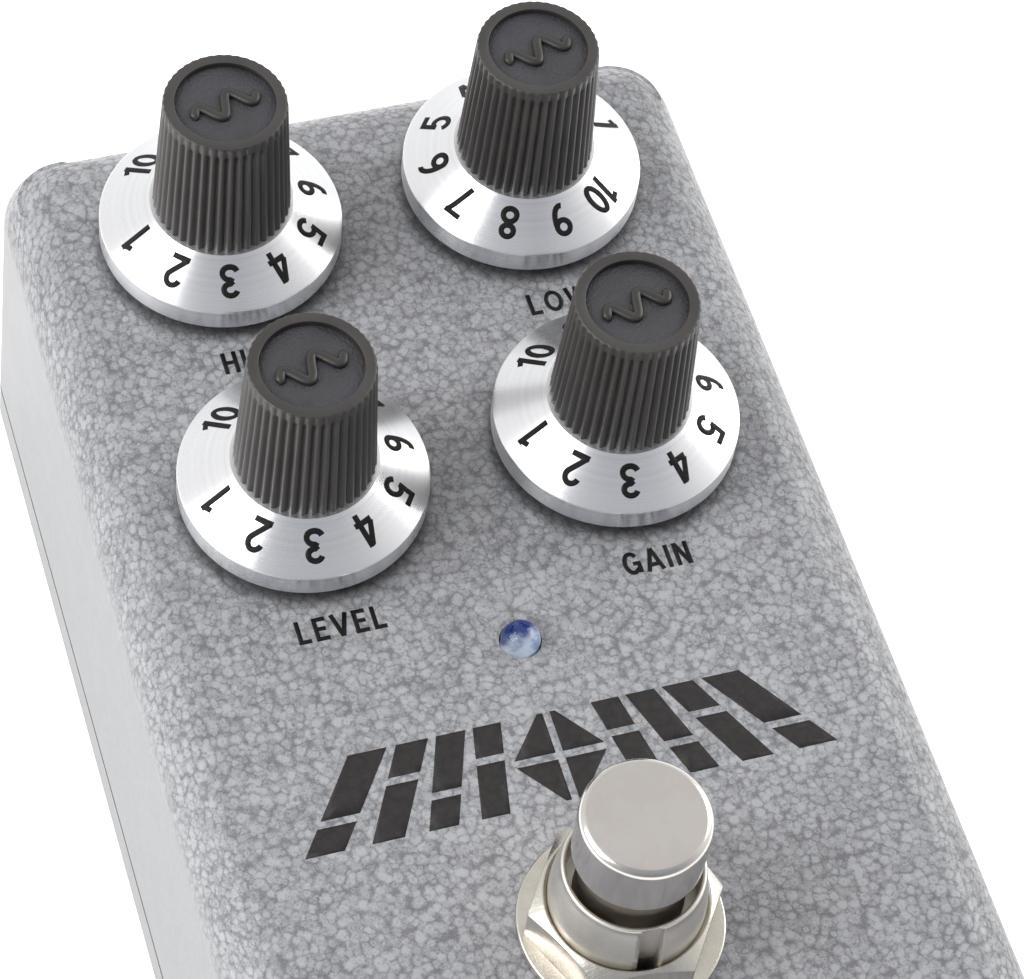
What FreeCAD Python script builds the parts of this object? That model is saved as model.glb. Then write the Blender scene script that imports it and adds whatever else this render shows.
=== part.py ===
import FreeCAD, Part
import math
import os

# Guitar effects pedal: a die-cast box with four dial knobs, a status light, a foot-operated
# button and three sockets on the rear wall.
# Frame: millimetres, +Z up, +Y towards the rear (socket) wall, +X to the player's right.
# The origin is under the middle of the whole footprint, on the plane the feet stand on.

# ---------------------------------------------------------------- case and cover
case_length = 114.0          # along Y, at the underside
case_width = 61.75           # along X, at the underside
case_height = 32.9           # underside of the cover to the top face
case_wall = 2.2
top_wall = 2.4
draft = 0.032                # how far each side wall leans in, per mm of height
corner_radius = 5.4
top_fillet = 4.6
inner_fillet = 2.2
cover_edge = 4.3             # visible height of the cover's edge
cover_plate = 2.2
cover_edge_round = 0.6
seam_gap = 0.25
lip_height = 1.6
lip_thickness = 1.4
lip_clearance = 0.15

post_radius = 3.7
post_inset = 2.4             # from the inner walls to a corner post's axis
post_clearance = 0.4

screw_radius = 1.45
screw_clearance = 0.05
screw_length = 11.0
screw_hole_radius = 1.7
screw_head_radius = 2.8
screw_head_height = 1.5
screw_head_clearance = 0.1
screw_recess = 0.5           # slot width of the cross recess

foot_height = 2.0
foot_radius = 5.0
foot_round = 0.7
foot_inset_x = 12.0          # from the case's side to a foot's axis
foot_inset_y = 17.0          # from the case's end to a foot's axis

# ---------------------------------------------------------------- controls
knob_pitch_x = 26.4
knob_pitch_y = 26.57
rear_row_setback = 14.1      # from the case's rear edge to the rear knobs
led_share = 0.287            # place of the light in the free gap in front of the knobs
switch_setback = 30.15       # from the case's front edge to the footswitch

dial_radius = 10.16
dial_gap = 1.25              # under the dial's rim
dial_rim = 2.02              # height of the cylindrical rim
dial_top = 5.64              # height of the flat under the grip, above the case
dial_wall = 0.9
dial_rim_wall = 0.8
grip_base_radius = 5.74
grip_top_radius = 5.07
grip_top = 18.11             # above the case
grip_flutes = 42
grip_flute_depth = 0.28
grip_flute_stop = 1.1        # smooth ring left above the flutes
grip_recess_radius = 4.08
grip_recess_depth = 0.5
hub_wall = 1.3
hub_drop = 2.0               # how far the grip's hub reaches down inside the dial
knob_fit = 0.02

shaft_radius = 3.0
shaft_top = 14.5             # above the case
shaft_fit = 0.05
shaft_slot = 0.9
shaft_slot_depth = 6.0
pot_width = 10.0
pot_depth = 11.0
pot_height = 6.5
pot_bushing_wall = 0.45
pot_bushing_top = 3.0        # above the case
pot_hole_clearance = 0.1
pot_shaft_depth = 4.5        # how far the shaft reaches into the pot
pot_washer_width = 2.1       # beyond the pot's bushing
pot_washer_height = 0.4
pot_nut_wall = 1.5           # from the bushing to a flat
pot_nut_height = 1.7
pin_radius = 0.4
pin_clearance = 0.1
pot_pin_pitch = 2.5

# ---------------------------------------------------------------- status light
led_radius = 1.6
led_hole_clearance = 0.12
led_dome_top = 1.7           # above the case
led_shoulder = 0.25          # above the case, where the dome starts
led_body_length = 4.6
led_flange_width = 0.3
led_flange_height = 0.9
led_lead_pitch = 2.0
led_lead_width = 0.5

# ---------------------------------------------------------------- footswitch
bushing_wall = 0.95          # around the counterbore for the button
bushing_hole_clearance = 0.1
bushing_rim_taper = 0.58     # how much narrower the rim is than the sleeve
bushing_top = 9.5            # above the case
bushing_rim_round = 0.3
bushing_standoff = 4.0       # between the case's inner face and the switch body
switch_washer_width = 2.0    # beyond the sleeve
switch_washer_height = 1.0
switch_nut_wall = 0.55       # from the sleeve to a flat
switch_nut_height = 3.8
switch_nut_turn = -5.0       # degrees
lower_nut_height = 2.4
nut_chamfer_rise = 0.9
keyway_turn = -94.0          # degrees, direction the keyway faces
keyway_width = 1.55
keyway_depth = 0.7
button_radius = 4.95
button_clearance = 0.1
button_top = 17.3            # above the case
button_skirt = 11.9          # lower edge of the button's cap, above the case
button_round = 0.55
button_chamfer = 0.2
button_travel = 2.5
neck_step = 0.75             # how much narrower the neck is than the button
neck_fit = 0.05
neck_bottom = -3.0           # below the case's top face
counterbore_floor = 5.6      # above the case
switch_width = 17.0
switch_depth = 16.5
switch_height = 15.0
spring_wire_radius = 0.4
spring_step = 0.8            # from the neck's side to the middle of the spring's wire
spring_turns = 5
spring_end_gap = 0.02
lug_pitch = 4.8
lug_width = 2.0
lug_thickness = 0.8
lug_length = 5.0
lug_hole_clearance = 0.3

# ---------------------------------------------------------------- rear sockets
socket_reach = 3.6           # how far the jack bushings stand out behind the case
jack_side_wall = 1.9
jack_upper_wall = 2.4
jack_body_length = 26.0
jack_side_clearance = 0.4    # between a jack and the corner post beside it
jack_end_wall = 1.5
jack_bushing_wall = 1.5
jack_hole_clearance = 0.15
jack_bore_radius = 3.25
jack_channel_room = 0.35     # from the bore to the side of the square channel behind it
jack_nut_wall = 1.6          # from the sleeve to a flat
jack_nut_height = 2.0
jack_washer_width = 2.05     # beyond the sleeve
jack_washer_height = 0.7
spot_face_margin = 0.25      # around the nut's corners
spot_face_clearance = 0.05
contact_thickness = 0.3
contact_width = 3.0
contact_length = 14.0

dc_body_width = 9.5
dc_body_height = 11.0
dc_body_length = 13.5
dc_collar_wall = 2.75
dc_collar_clearance = 0.15
dc_bore_radius = 2.85
dc_bore_depth = 10.0
dc_pin_radius = 1.0
dc_pin_setback = 1.0         # behind the mouth

# ---------------------------------------------------------------- boards and wiring
board_thickness = 1.6
board_clearance = 0.7
board_front_margin = 3.0     # in front of the light
small_board_margin = 2.0
small_board_rise = 1.2       # under the switch body
ribbon_width = 8.0
ribbon_thickness = 1.0
ribbon_inset = 8.0           # from the main board's front edge to the cable
ribbon_bend_share = 0.8
chip_size = (9.6, 6.4, 3.6)  # X, Y, Z
chip_offset_x = 11.0
chip_margin = 9.0            # from the board's front edge to the chips' middle
can_radius = 2.5
can_height = 5.4
can_offset_x = 3.2
can_shares = (0.25, 0.75)    # places in the gap between the two rows of pots
film_size = (2.6, 7.2, 6.5)
film_pitch = 6.0
film_count = 8
film_margin = 17.0           # from the board's front edge to the film capacitors' middle
resistor_radius = 0.9
resistor_length = 3.4
resistor_first_x = 5.0
resistor_pitch = 3.2
resistors_a_side = 5

# ---------------------------------------------------------------- sizes that follow
hub_radius = shaft_radius + hub_wall
pot_bushing_radius = shaft_radius + shaft_fit + pot_bushing_wall
pot_washer_radius = pot_bushing_radius + pot_washer_width
pot_nut_flats = 2 * (pot_bushing_radius + pot_nut_wall)
led_hole_radius = led_radius + led_hole_clearance
led_flange_radius = led_radius + led_flange_width
bushing_radius = button_radius + button_clearance + bushing_wall
bushing_rim_radius = bushing_radius - bushing_rim_taper
switch_washer_radius = bushing_radius + switch_washer_width
switch_nut_flats = 2 * (bushing_radius + switch_nut_wall)
keyway_floor = bushing_radius - keyway_depth
neck_radius = button_radius - neck_step
spring_radius = neck_radius - spring_step
jack_bushing_radius = jack_bore_radius + jack_bushing_wall
jack_channel = jack_bore_radius + jack_channel_room
jack_body_width = 2 * (jack_channel + jack_side_wall)
jack_body_height = 2 * (jack_channel + jack_upper_wall)
jack_nut_flats = 2 * (jack_bushing_radius + jack_nut_wall)
jack_washer_radius = jack_bushing_radius + jack_washer_width
spot_face_radius = jack_nut_flats / 2 / math.cos(math.pi / 6) + spot_face_margin
dc_collar_radius = dc_bore_radius + dc_collar_wall

# ---------------------------------------------------------------- places that follow
base_z = foot_height
seam_z = base_z + cover_edge
top_z = base_z + case_height
ceiling_z = top_z - top_wall
floor_z = base_z + cover_plate
case_y = -socket_reach / 2
rear_y = case_y + case_length / 2
front_y = case_y - case_length / 2

rear_row_y = rear_y - rear_row_setback
front_row_y = rear_row_y - knob_pitch_y
switch_y = front_y + switch_setback
gap_rear_y = front_row_y - dial_radius
gap_front_y = switch_y + switch_washer_radius
led_y = gap_rear_y - led_share * (gap_rear_y - gap_front_y)

knob_places = {
    "high": (-knob_pitch_x / 2, rear_row_y),
    "low": (knob_pitch_x / 2, rear_row_y),
    "level": (-knob_pitch_x / 2, front_row_y),
    "gain": (knob_pitch_x / 2, front_row_y),
}

board_top = ceiling_z - pot_height
board_z = board_top - board_thickness
jack_z = board_z - jack_body_height / 2
lean_at_jack = draft * (jack_z - base_z)
inner_rear_y = rear_y - draft * (board_z - base_z) - case_wall
spot_face_y = rear_y - lean_at_jack - draft * spot_face_radius - spot_face_clearance
post_x = case_width / 2 - draft * (ceiling_z - base_z) - case_wall - post_inset
post_y = case_length / 2 - draft * (ceiling_z - base_z) - case_wall - post_inset
jack_x = post_x - post_radius - jack_side_clearance - jack_body_width / 2

switch_top = ceiling_z - bushing_standoff
switch_bottom = switch_top - switch_height
small_board_top = switch_bottom - small_board_rise


def vector(x, y, z):
    """A point or a direction."""
    return FreeCAD.Vector(x, y, z)


def half_width(z, inset=0.0):
    """Half the case's outer width at a height, less an inset."""
    return case_width / 2 - draft * (z - base_z) - inset


def half_length(z, inset=0.0):
    """Half the case's outer length at a height, less an inset."""
    return case_length / 2 - draft * (z - base_z) - inset


def rounded_rectangle(half_x, half_y, radius, y, z):
    """A closed wire of four straight sides and four corner arcs, level at height z."""
    edges = []
    corners = [(1, -1), (1, 1), (-1, 1), (-1, -1)]
    count = len(corners)
    for index in range(count):
        sign_x, sign_y = corners[index]
        next_x, next_y = corners[(index + 1) % count]
        centre = vector(sign_x * (half_x - radius), y + sign_y * (half_y - radius), z)
        start = -90 + 90 * index
        arc = Part.makeCircle(radius, centre, vector(0, 0, 1), start, start + 90)
        edges.append(arc)
        turn = math.radians(start + 90)
        out = vector(radius * math.cos(turn), radius * math.sin(turn), 0)
        following = vector(next_x * (half_x - radius), y + next_y * (half_y - radius), z)
        edges.append(Part.makeLine(centre + out, following + out))
    return Part.Wire(Part.__sortEdges__(edges))


def drafted_block(z_low, z_high, inset, radius):
    """The case's leaning outline, moved in by an inset, between two heights."""
    wires = []
    for z in (z_low, z_high):
        wires.append(rounded_rectangle(half_width(z, inset), half_length(z, inset), radius, case_y, z))
    return Part.makeLoft(wires, True, True)


def edges_at(shape, z):
    """The edges of a shape that lie wholly at height z."""
    found = []
    for edge in shape.Edges:
        limits = edge.BoundBox
        if abs(limits.ZMin - z) < 1e-4 and abs(limits.ZMax - z) < 1e-4:
            found.append(edge)
    return found


def cylinder(radius, z_low, z_high, x, y):
    """An upright cylinder between two heights."""
    return Part.makeCylinder(radius, z_high - z_low, vector(x, y, z_low))


def block(x, y, z_low, size_x, size_y, size_z):
    """A box centred on x and y, standing on z_low."""
    return Part.makeBox(size_x, size_y, size_z, vector(x - size_x / 2, y - size_y / 2, z_low))


def rear_cylinder(radius, y_low, y_high, x, z):
    """A cylinder along Y between two places."""
    return Part.makeCylinder(radius, y_high - y_low, vector(x, y_low, z), vector(0, 1, 0))


def spun(profile, x, y):
    """A closed outline of (radius, height) corners turned about the upright axis at x, y."""
    points = [vector(x + radius, y, z) for radius, z in profile]
    face = Part.Face(Part.makePolygon(points + [points[0]]))
    return face.revolve(vector(x, y, 0), vector(0, 0, 1), 360)


def hexagon(flats, z_low, z_high, x, y, turn=0.0):
    """An upright hexagonal prism, given across its flats."""
    corner = flats / 2 / math.cos(math.pi / 6)
    points = []
    for index in range(6):
        angle = math.radians(turn + 60 * index)
        points.append(vector(x + corner * math.cos(angle), y + corner * math.sin(angle), z_low))
    return Part.Face(Part.makePolygon(points + [points[0]])).extrude(vector(0, 0, z_high - z_low))


def chamfered_nut(flats, z_low, z_high, bore, x, y, turn=0.0):
    """A hexagonal nut whose upper corners are turned off by a cone, with a plain bore."""
    corner = flats / 2 / math.cos(math.pi / 6)
    crown = flats / 2
    profile = [(0, z_low), (corner + 0.1, z_low), (corner + 0.1, z_high - nut_chamfer_rise),
               (crown - 0.2, z_high), (0, z_high)]
    nut = hexagon(flats, z_low, z_high, x, y, turn).common(spun(profile, x, y))
    return nut.cut(cylinder(bore, z_low - 1, z_high + 1, x, y))


def group(solids):
    """Several separate solids that share one node."""
    return Part.makeCompound(solids)


def post_places():
    """The four corner posts' axes, set in from the inner walls at the ceiling."""
    return [(sign_x * post_x, case_y + sign_y * post_y) for sign_x in (-1, 1) for sign_y in (-1, 1)]


# ================================================================ case, cover, feet
def make_enclosure():
    """The drafted die-cast box, open below, with corner posts and every panel hole."""
    bottom = seam_z + seam_gap
    outer = drafted_block(bottom, top_z, 0, corner_radius)
    outer = outer.makeFillet(top_fillet, edges_at(outer, top_z))
    inner = drafted_block(bottom - 1, ceiling_z, case_wall, corner_radius - case_wall)
    inner = inner.makeFillet(inner_fillet, edges_at(inner, ceiling_z))
    shell = outer.cut(inner)
    keep_in = drafted_block(bottom, top_z - top_wall / 2, case_wall / 2, corner_radius - case_wall / 2)
    for x, y in post_places():
        post = cylinder(post_radius, bottom, top_z - top_wall / 2, x, y).common(keep_in)
        shell = shell.fuse(post)
    for x, y in post_places():
        shell = shell.cut(cylinder(screw_radius + screw_clearance, bottom - 1, seam_z + screw_length, x, y))
    for x, y in knob_places.values():
        shell = shell.cut(cylinder(pot_bushing_radius + pot_hole_clearance, ceiling_z - 1, top_z + 1, x, y))
    shell = shell.cut(cylinder(led_hole_radius, ceiling_z - 1, top_z + 1, 0, led_y))
    hole = bushing_radius + bushing_hole_clearance
    shell = shell.cut(cylinder(hole, ceiling_z - 1, top_z + 1, 0, switch_y))
    hole = jack_bushing_radius + jack_hole_clearance
    for x in (-jack_x, jack_x):
        shell = shell.cut(rear_cylinder(hole, inner_rear_y - 3, rear_y + 1, x, jack_z))
        shell = shell.cut(rear_cylinder(spot_face_radius, spot_face_y, rear_y + 1, x, jack_z))
    hole = dc_collar_radius + dc_collar_clearance
    return shell.cut(rear_cylinder(hole, inner_rear_y - 3, rear_y + 1, 0, dc_z()))


def make_cover():
    """The tray-shaped cover with a locating lip broken at the posts and countersunk holes."""
    slab = drafted_block(base_z, seam_z, 0, corner_radius)
    slab = slab.makeFillet(cover_edge_round, edges_at(slab, base_z))
    lip_inset = case_wall + lip_clearance
    lip = drafted_block(floor_z, seam_z + lip_height, lip_inset, corner_radius - lip_inset)
    pocket_inset = lip_inset + lip_thickness
    pocket = drafted_block(floor_z, seam_z + lip_height + 1, pocket_inset, corner_radius - lip_inset)
    post_room = post_radius + post_clearance
    for x, y in post_places():
        pocket = pocket.cut(cylinder(post_room, floor_z - 1, seam_z + lip_height + 2, x, y))
    cover = slab.fuse(lip).cut(pocket)
    head_top = base_z + screw_head_height
    for x, y in post_places():
        cover = cover.cut(cylinder(post_room, seam_z, seam_z + lip_height + 1, x, y))
        cover = cover.cut(cylinder(screw_hole_radius, base_z - 1, seam_z + 1, x, y))
        wide = screw_head_radius + screw_head_clearance
        sink = [(0, base_z), (wide, base_z), (screw_radius + screw_head_clearance, head_top), (0, head_top)]
        cover = cover.cut(spun(sink, x, y))
    return cover


def make_cover_screws():
    """Four countersunk screws with cross recesses, driven from below."""
    screws = []
    low = base_z + screw_head_clearance / 2
    for x, y in post_places():
        profile = [(0, low), (screw_head_radius, low), (screw_radius, low + screw_head_height),
                   (screw_radius, seam_z + screw_length - 1), (0, seam_z + screw_length - 0.5)]
        screw = spun(profile, x, y)
        for size_x, size_y in ((3.2, screw_recess), (screw_recess, 3.2)):
            screw = screw.cut(block(x, y, low - 0.5, size_x, size_y, 1.3))
        screws.append(screw)
    return group(screws)


def make_feet():
    """Four round rubber feet with eased lower edges."""
    feet = []
    for sign_x in (-1, 1):
        for sign_y in (-1, 1):
            x = sign_x * (case_width / 2 - foot_inset_x)
            y = case_y + sign_y * (case_length / 2 - foot_inset_y)
            foot = cylinder(foot_radius, 0, foot_height, x, y)
            feet.append(foot.makeFillet(foot_round, edges_at(foot, 0)))
    return group(feet)


# ================================================================ knobs and pots
def fluted_outline(radius, depth, z, x, y):
    """A closed wire that steps between the crest and the root of every flute."""
    points = []
    steps = grip_flutes * 2
    for index in range(steps):
        angle = 2 * math.pi * index / steps
        reach = radius - depth * (index % 2)
        points.append(vector(x + reach * math.cos(angle), y + reach * math.sin(angle), z))
    return Part.makePolygon(points + [points[0]])


def grip_radius(height):
    """The grip's crest radius at a height above the case, between its base and its top."""
    share = (height - dial_top) / (grip_top - dial_top)
    return grip_base_radius + share * (grip_top_radius - grip_base_radius)


def make_knob(x, y):
    """The tapered fluted grip with a recessed top and a bored hub that passes into the dial."""
    ring = grip_top - grip_flute_stop
    wires = [
        fluted_outline(grip_radius(dial_top), grip_flute_depth, top_z + dial_top, x, y),
        fluted_outline(grip_radius(ring), grip_flute_depth, top_z + ring, x, y),
    ]
    body = Part.makeLoft(wires, True, True)
    cap = spun([(0, top_z + ring), (grip_radius(ring) - grip_flute_depth / 2, top_z + ring),
                (grip_top_radius, top_z + grip_top), (0, top_z + grip_top)], x, y)
    hub = cylinder(hub_radius, top_z + dial_top - hub_drop, top_z + dial_top, x, y)
    body = body.fuse(cap).fuse(hub)
    recess_floor = top_z + grip_top - grip_recess_depth
    body = body.cut(cylinder(grip_recess_radius, recess_floor, top_z + grip_top + 1, x, y))
    bore = cylinder(shaft_radius + knob_fit, top_z, top_z + shaft_top + knob_fit, x, y)
    return body.cut(bore)


def make_dial(x, y):
    """The thin spun dial: a rim, a cone for the figures and a flat under the grip."""
    rim_low = top_z + dial_gap
    rim_high = rim_low + dial_rim
    flat = top_z + dial_top
    inner = hub_radius + knob_fit
    shoulder = grip_base_radius + 0.25
    outline = [(dial_radius, rim_low), (dial_radius, rim_high), (shoulder, flat), (inner, flat),
               (inner, flat - dial_wall), (shoulder - dial_wall / 2, flat - dial_wall),
               (dial_radius - dial_rim_wall, rim_high - dial_wall), (dial_radius - dial_rim_wall, rim_low)]
    return spun(outline, x, y)


def make_shaft(x, y):
    """A round shaft with a slotted end, running in the pot's bushing."""
    shaft = cylinder(shaft_radius, ceiling_z - pot_shaft_depth, top_z + shaft_top, x, y)
    slot_low = top_z + shaft_top - shaft_slot_depth
    return shaft.cut(block(x, y, slot_low, shaft_slot, 4 * shaft_radius, shaft_slot_depth + 1))


def make_pot(x, y):
    """A square pot case with its threaded bushing and the shaft's running bore."""
    case = block(x, y, ceiling_z - pot_height, pot_width, pot_depth, pot_height)
    bushing = cylinder(pot_bushing_radius, ceiling_z - 1, top_z + pot_bushing_top, x, y)
    bore_low = ceiling_z - pot_shaft_depth - 0.2
    bore = cylinder(shaft_radius + shaft_fit, bore_low, top_z + pot_bushing_top + 1, x, y)
    return case.fuse(bushing).cut(bore)


def make_pot_washers():
    """A flat washer on the case under each pot nut."""
    washers = []
    for x, y in knob_places.values():
        ring = cylinder(pot_washer_radius, top_z, top_z + pot_washer_height, x, y)
        washers.append(ring.cut(cylinder(pot_bushing_radius + 0.05, top_z - 1, top_z + 2, x, y)))
    return group(washers)


def make_pot_nuts():
    """A thin hexagonal nut on each pot's bushing."""
    low = top_z + pot_washer_height
    nuts = []
    for x, y in knob_places.values():
        nut = hexagon(pot_nut_flats, low, low + pot_nut_height, x, y)
        nuts.append(nut.cut(cylinder(pot_bushing_radius + 0.03, low - 1, low + 3, x, y)))
    return group(nuts)


def pot_pin_places():
    """Three legs in front of each pot."""
    places = []
    for x, y in knob_places.values():
        for step in (-1, 0, 1):
            places.append((x + step * pot_pin_pitch, y - pot_depth / 2 - pin_radius))
    return places


def make_pot_legs():
    """The pots' legs, from beside each case down through the board to its underside."""
    legs = []
    for x, y in pot_pin_places():
        legs.append(cylinder(pin_radius, board_z, board_top + pot_height / 2, x, y))
    return group(legs)


# ================================================================ status light
def make_led():
    """A clear light with a flange under the case's top wall and a spherical dome."""
    shoulder = top_z + led_shoulder
    low = shoulder - led_body_length
    rise = led_dome_top - led_shoulder
    sphere_radius = (led_radius ** 2 + rise ** 2) / (2 * rise)
    dome = Part.makeSphere(sphere_radius, vector(0, led_y, shoulder + rise - sphere_radius))
    body = cylinder(led_radius, low, shoulder + rise, 0, led_y).common(
        dome.fuse(cylinder(led_radius + 1, low - 1, shoulder, 0, led_y)))
    flange = cylinder(led_flange_radius, low, low + led_flange_height, 0, led_y)
    return body.fuse(flange).removeSplitter()


def make_led_leads():
    """Two square leads from the light down through the board."""
    high = top_z + led_shoulder - led_body_length
    low = board_z
    leads = []
    for sign in (-1, 1):
        x = sign * led_lead_pitch / 2
        leads.append(block(x, led_y, low, led_lead_width, led_lead_width, high - low))
    return group(leads)


# ================================================================ footswitch
def make_bushing():
    """The footswitch's threaded sleeve: a smooth flared nose with a counterbore and a keyway."""
    top = top_z + bushing_top
    nut_top = top_z + switch_washer_height + switch_nut_height
    middle_z = (nut_top + top - bushing_rim_round) / 2
    middle_r = (bushing_radius + bushing_rim_radius) / 2 + 0.12
    start = vector(bushing_radius, switch_y, nut_top)
    end = vector(bushing_rim_radius, switch_y, top - bushing_rim_round)
    flare = Part.Arc(start, vector(middle_r, switch_y, middle_z), end).toShape()
    bore = button_radius + button_clearance
    rim_mid = vector((bushing_rim_radius + bore) / 2, switch_y, top)
    rim = Part.Arc(end, rim_mid, vector(bore, switch_y, top - bushing_rim_round)).toShape()
    guide = neck_radius + neck_fit
    ledge = top_z + counterbore_floor
    corners = [vector(bore, switch_y, top - bushing_rim_round), vector(bore, switch_y, ledge),
               vector(guide, switch_y, ledge), vector(guide, switch_y, switch_top),
               vector(bushing_radius, switch_y, switch_top), start]
    face = Part.Face(Part.Wire([flare, rim] + Part.makePolygon(corners).Edges))
    sleeve = face.revolve(vector(0, switch_y, 0), vector(0, 0, 1), 360)
    depth = bushing_radius - keyway_floor + 1
    slot_low = vector(keyway_floor, -keyway_width / 2, ceiling_z - 3)
    slot = Part.makeBox(depth, keyway_width, top - ceiling_z + 4, slot_low)
    slot.rotate(vector(0, 0, 0), vector(0, 0, 1), keyway_turn)
    slot.translate(vector(0, switch_y, 0))
    return sleeve.cut(slot)


def make_switch_washer():
    """The flat washer between the case and the outer nut."""
    ring = cylinder(switch_washer_radius, top_z, top_z + switch_washer_height, 0, switch_y)
    return ring.cut(cylinder(bushing_radius + bushing_hole_clearance, top_z - 1, top_z + 3, 0, switch_y))


def make_switch_nut():
    """The outer hexagonal nut that clamps the footswitch to the case."""
    low = top_z + switch_washer_height
    bore = bushing_radius + 0.03
    return chamfered_nut(switch_nut_flats, low, low + switch_nut_height, bore, 0, switch_y, switch_nut_turn)


def make_lower_nut():
    """The inner nut that sets how far the footswitch stands up."""
    bore = bushing_radius + 0.03
    low = ceiling_z - lower_nut_height
    nut = hexagon(switch_nut_flats, low, ceiling_z, 0, switch_y)
    return nut.cut(cylinder(bore, low - 1, ceiling_z + 1, 0, switch_y))


def make_button():
    """The polished cap that the foot presses, with an eased top edge."""
    low = top_z + button_skirt
    high = top_z + button_top
    cap = cylinder(button_radius, low, high, 0, switch_y)
    cap = cap.makeFillet(button_round, edges_at(cap, high))
    return cap.makeChamfer(button_chamfer, edges_at(cap, low))


def make_plunger():
    """The neck below the cap, which slides in the sleeve and stands on the spring."""
    return cylinder(neck_radius, top_z + neck_bottom, top_z + button_skirt, 0, switch_y)


def spring_seat():
    """Height of the spring's fixed lower end, inside the switch body."""
    return switch_top - button_travel - 2 * spring_wire_radius


def make_spring():
    """The return spring, wound between its seat and the plunger."""
    low = spring_seat() + spring_wire_radius + spring_end_gap
    high = top_z + neck_bottom - spring_wire_radius - spring_end_gap
    pitch = (high - low) / spring_turns
    helix = Part.makeHelix(pitch, high - low, spring_radius)
    section = Part.Wire(Part.makeCircle(spring_wire_radius, vector(spring_radius, 0, 0), vector(0, 1, 0)))
    coil = Part.Wire(helix).makePipeShell([section], True, True)
    coil.translate(vector(0, switch_y, low))
    return coil


def make_switch_body():
    """The switch's moulded case, with a well for the spring."""
    case = block(0, switch_y, switch_bottom, switch_width, switch_depth, switch_height)
    case = case.makeChamfer(0.6, edges_at(case, switch_bottom))
    return case.cut(cylinder(neck_radius + neck_fit, spring_seat(), switch_top + 1, 0, switch_y))


def lug_places():
    """A square grid of three by three lugs."""
    steps = (-1, 0, 1)
    return [(i * lug_pitch, switch_y + j * lug_pitch) for i in steps for j in steps]


def make_lugs():
    """Nine flat solder lugs under the switch."""
    lugs = []
    for x, y in lug_places():
        lugs.append(block(x, y, switch_bottom - lug_length, lug_width, lug_thickness, lug_length))
    return group(lugs)


# ================================================================ rear sockets
def make_jack_body(x):
    """A moulded jack case with a square channel behind the bushing, open to the front."""
    mid_y = inner_rear_y - jack_body_length / 2
    case = block(x, mid_y, jack_z - jack_body_height / 2, jack_body_width, jack_body_length, jack_body_height)
    channel_length = jack_body_length - jack_end_wall
    channel = block(x, inner_rear_y - channel_length / 2, jack_z - jack_channel,
                    2 * jack_channel, channel_length, 2 * jack_channel)
    return case.cut(channel)


def make_jack_bushing(x):
    """The jack's threaded sleeve through the rear wall, bored for the plug."""
    sleeve = rear_cylinder(jack_bushing_radius, inner_rear_y, rear_y + socket_reach, x, jack_z)
    return sleeve.cut(rear_cylinder(jack_bore_radius, inner_rear_y - 1, rear_y + socket_reach + 1, x, jack_z))


def make_jack_washer(x):
    """The washer on the rear wall's spot face."""
    ring = rear_cylinder(jack_washer_radius, spot_face_y, spot_face_y + jack_washer_height, x, jack_z)
    return ring.cut(rear_cylinder(jack_bushing_radius + 0.05, spot_face_y - 1, spot_face_y + 2, x, jack_z))


def make_jack_nut(x):
    """The hexagonal nut that clamps the jack."""
    low = spot_face_y + jack_washer_height
    nut = chamfered_nut(jack_nut_flats, 0, jack_nut_height, jack_bushing_radius + 0.03, 0, 0)
    nut.rotate(vector(0, 0, 0), vector(1, 0, 0), -90)
    nut.translate(vector(x, low, jack_z))
    return nut


def make_contacts(x):
    """Two leaf contacts that lie against the channel's upper and lower walls."""
    strips = []
    for sign in (-1, 1):
        level = jack_z + sign * (jack_channel - contact_thickness / 2)
        strips.append(block(x, inner_rear_y - jack_body_length / 2, level - contact_thickness / 2,
                            contact_width, contact_length, contact_thickness))
    return group(strips)


def dc_z():
    """Height of the power socket's axis."""
    return board_z - dc_body_height / 2


def make_dc_body():
    """The power socket: a moulded case with a round collar in the wall and a blind bore."""
    case = block(0, inner_rear_y - dc_body_length / 2, board_z - dc_body_height,
                 dc_body_width, dc_body_length, dc_body_height)
    mouth = spot_face_y
    collar = rear_cylinder(dc_collar_radius, inner_rear_y, mouth, 0, dc_z())
    collar = collar.common(block(0, inner_rear_y, 0, 4 * dc_collar_radius, 4 * case_wall + 4, top_z))
    body = case.fuse(collar)
    return body.cut(rear_cylinder(dc_bore_radius, mouth - dc_bore_depth, mouth + 1, 0, dc_z()))


def make_dc_pin():
    """The power socket's centre pin, standing on the bore's floor."""
    mouth = spot_face_y
    return rear_cylinder(dc_pin_radius, mouth - dc_bore_depth, mouth - dc_pin_setback, 0, dc_z())


# ================================================================ boards and wiring
def board_limits():
    """The main board's front and rear edges and its half width."""
    front = led_y - board_front_margin
    rear = inner_rear_y - board_clearance
    side = half_width(ceiling_z, case_wall) - board_clearance
    return front, rear, side


def make_main_board():
    """The board that carries the pots, the light and the sockets, cut back at the posts."""
    front, rear, side = board_limits()
    board = block(0, (front + rear) / 2, board_z, 2 * side, rear - front, board_thickness)
    for x, y in post_places():
        board = board.cut(cylinder(post_radius + board_clearance, board_z - 1, board_top + 1, x, y))
    for x, y in pot_pin_places():
        board = board.cut(cylinder(pin_radius + pin_clearance, board_z - 1, board_top + 1, x, y))
    for x in (-led_lead_pitch / 2, led_lead_pitch / 2):
        board = board.cut(cylinder(led_lead_width, board_z - 1, board_top + 1, x, led_y))
    return board


def small_board_limits():
    """The footswitch board's front and rear edges."""
    front = switch_y - switch_depth / 2 - small_board_margin
    rear = switch_y + switch_depth / 2 + small_board_margin
    return front, rear


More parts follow.
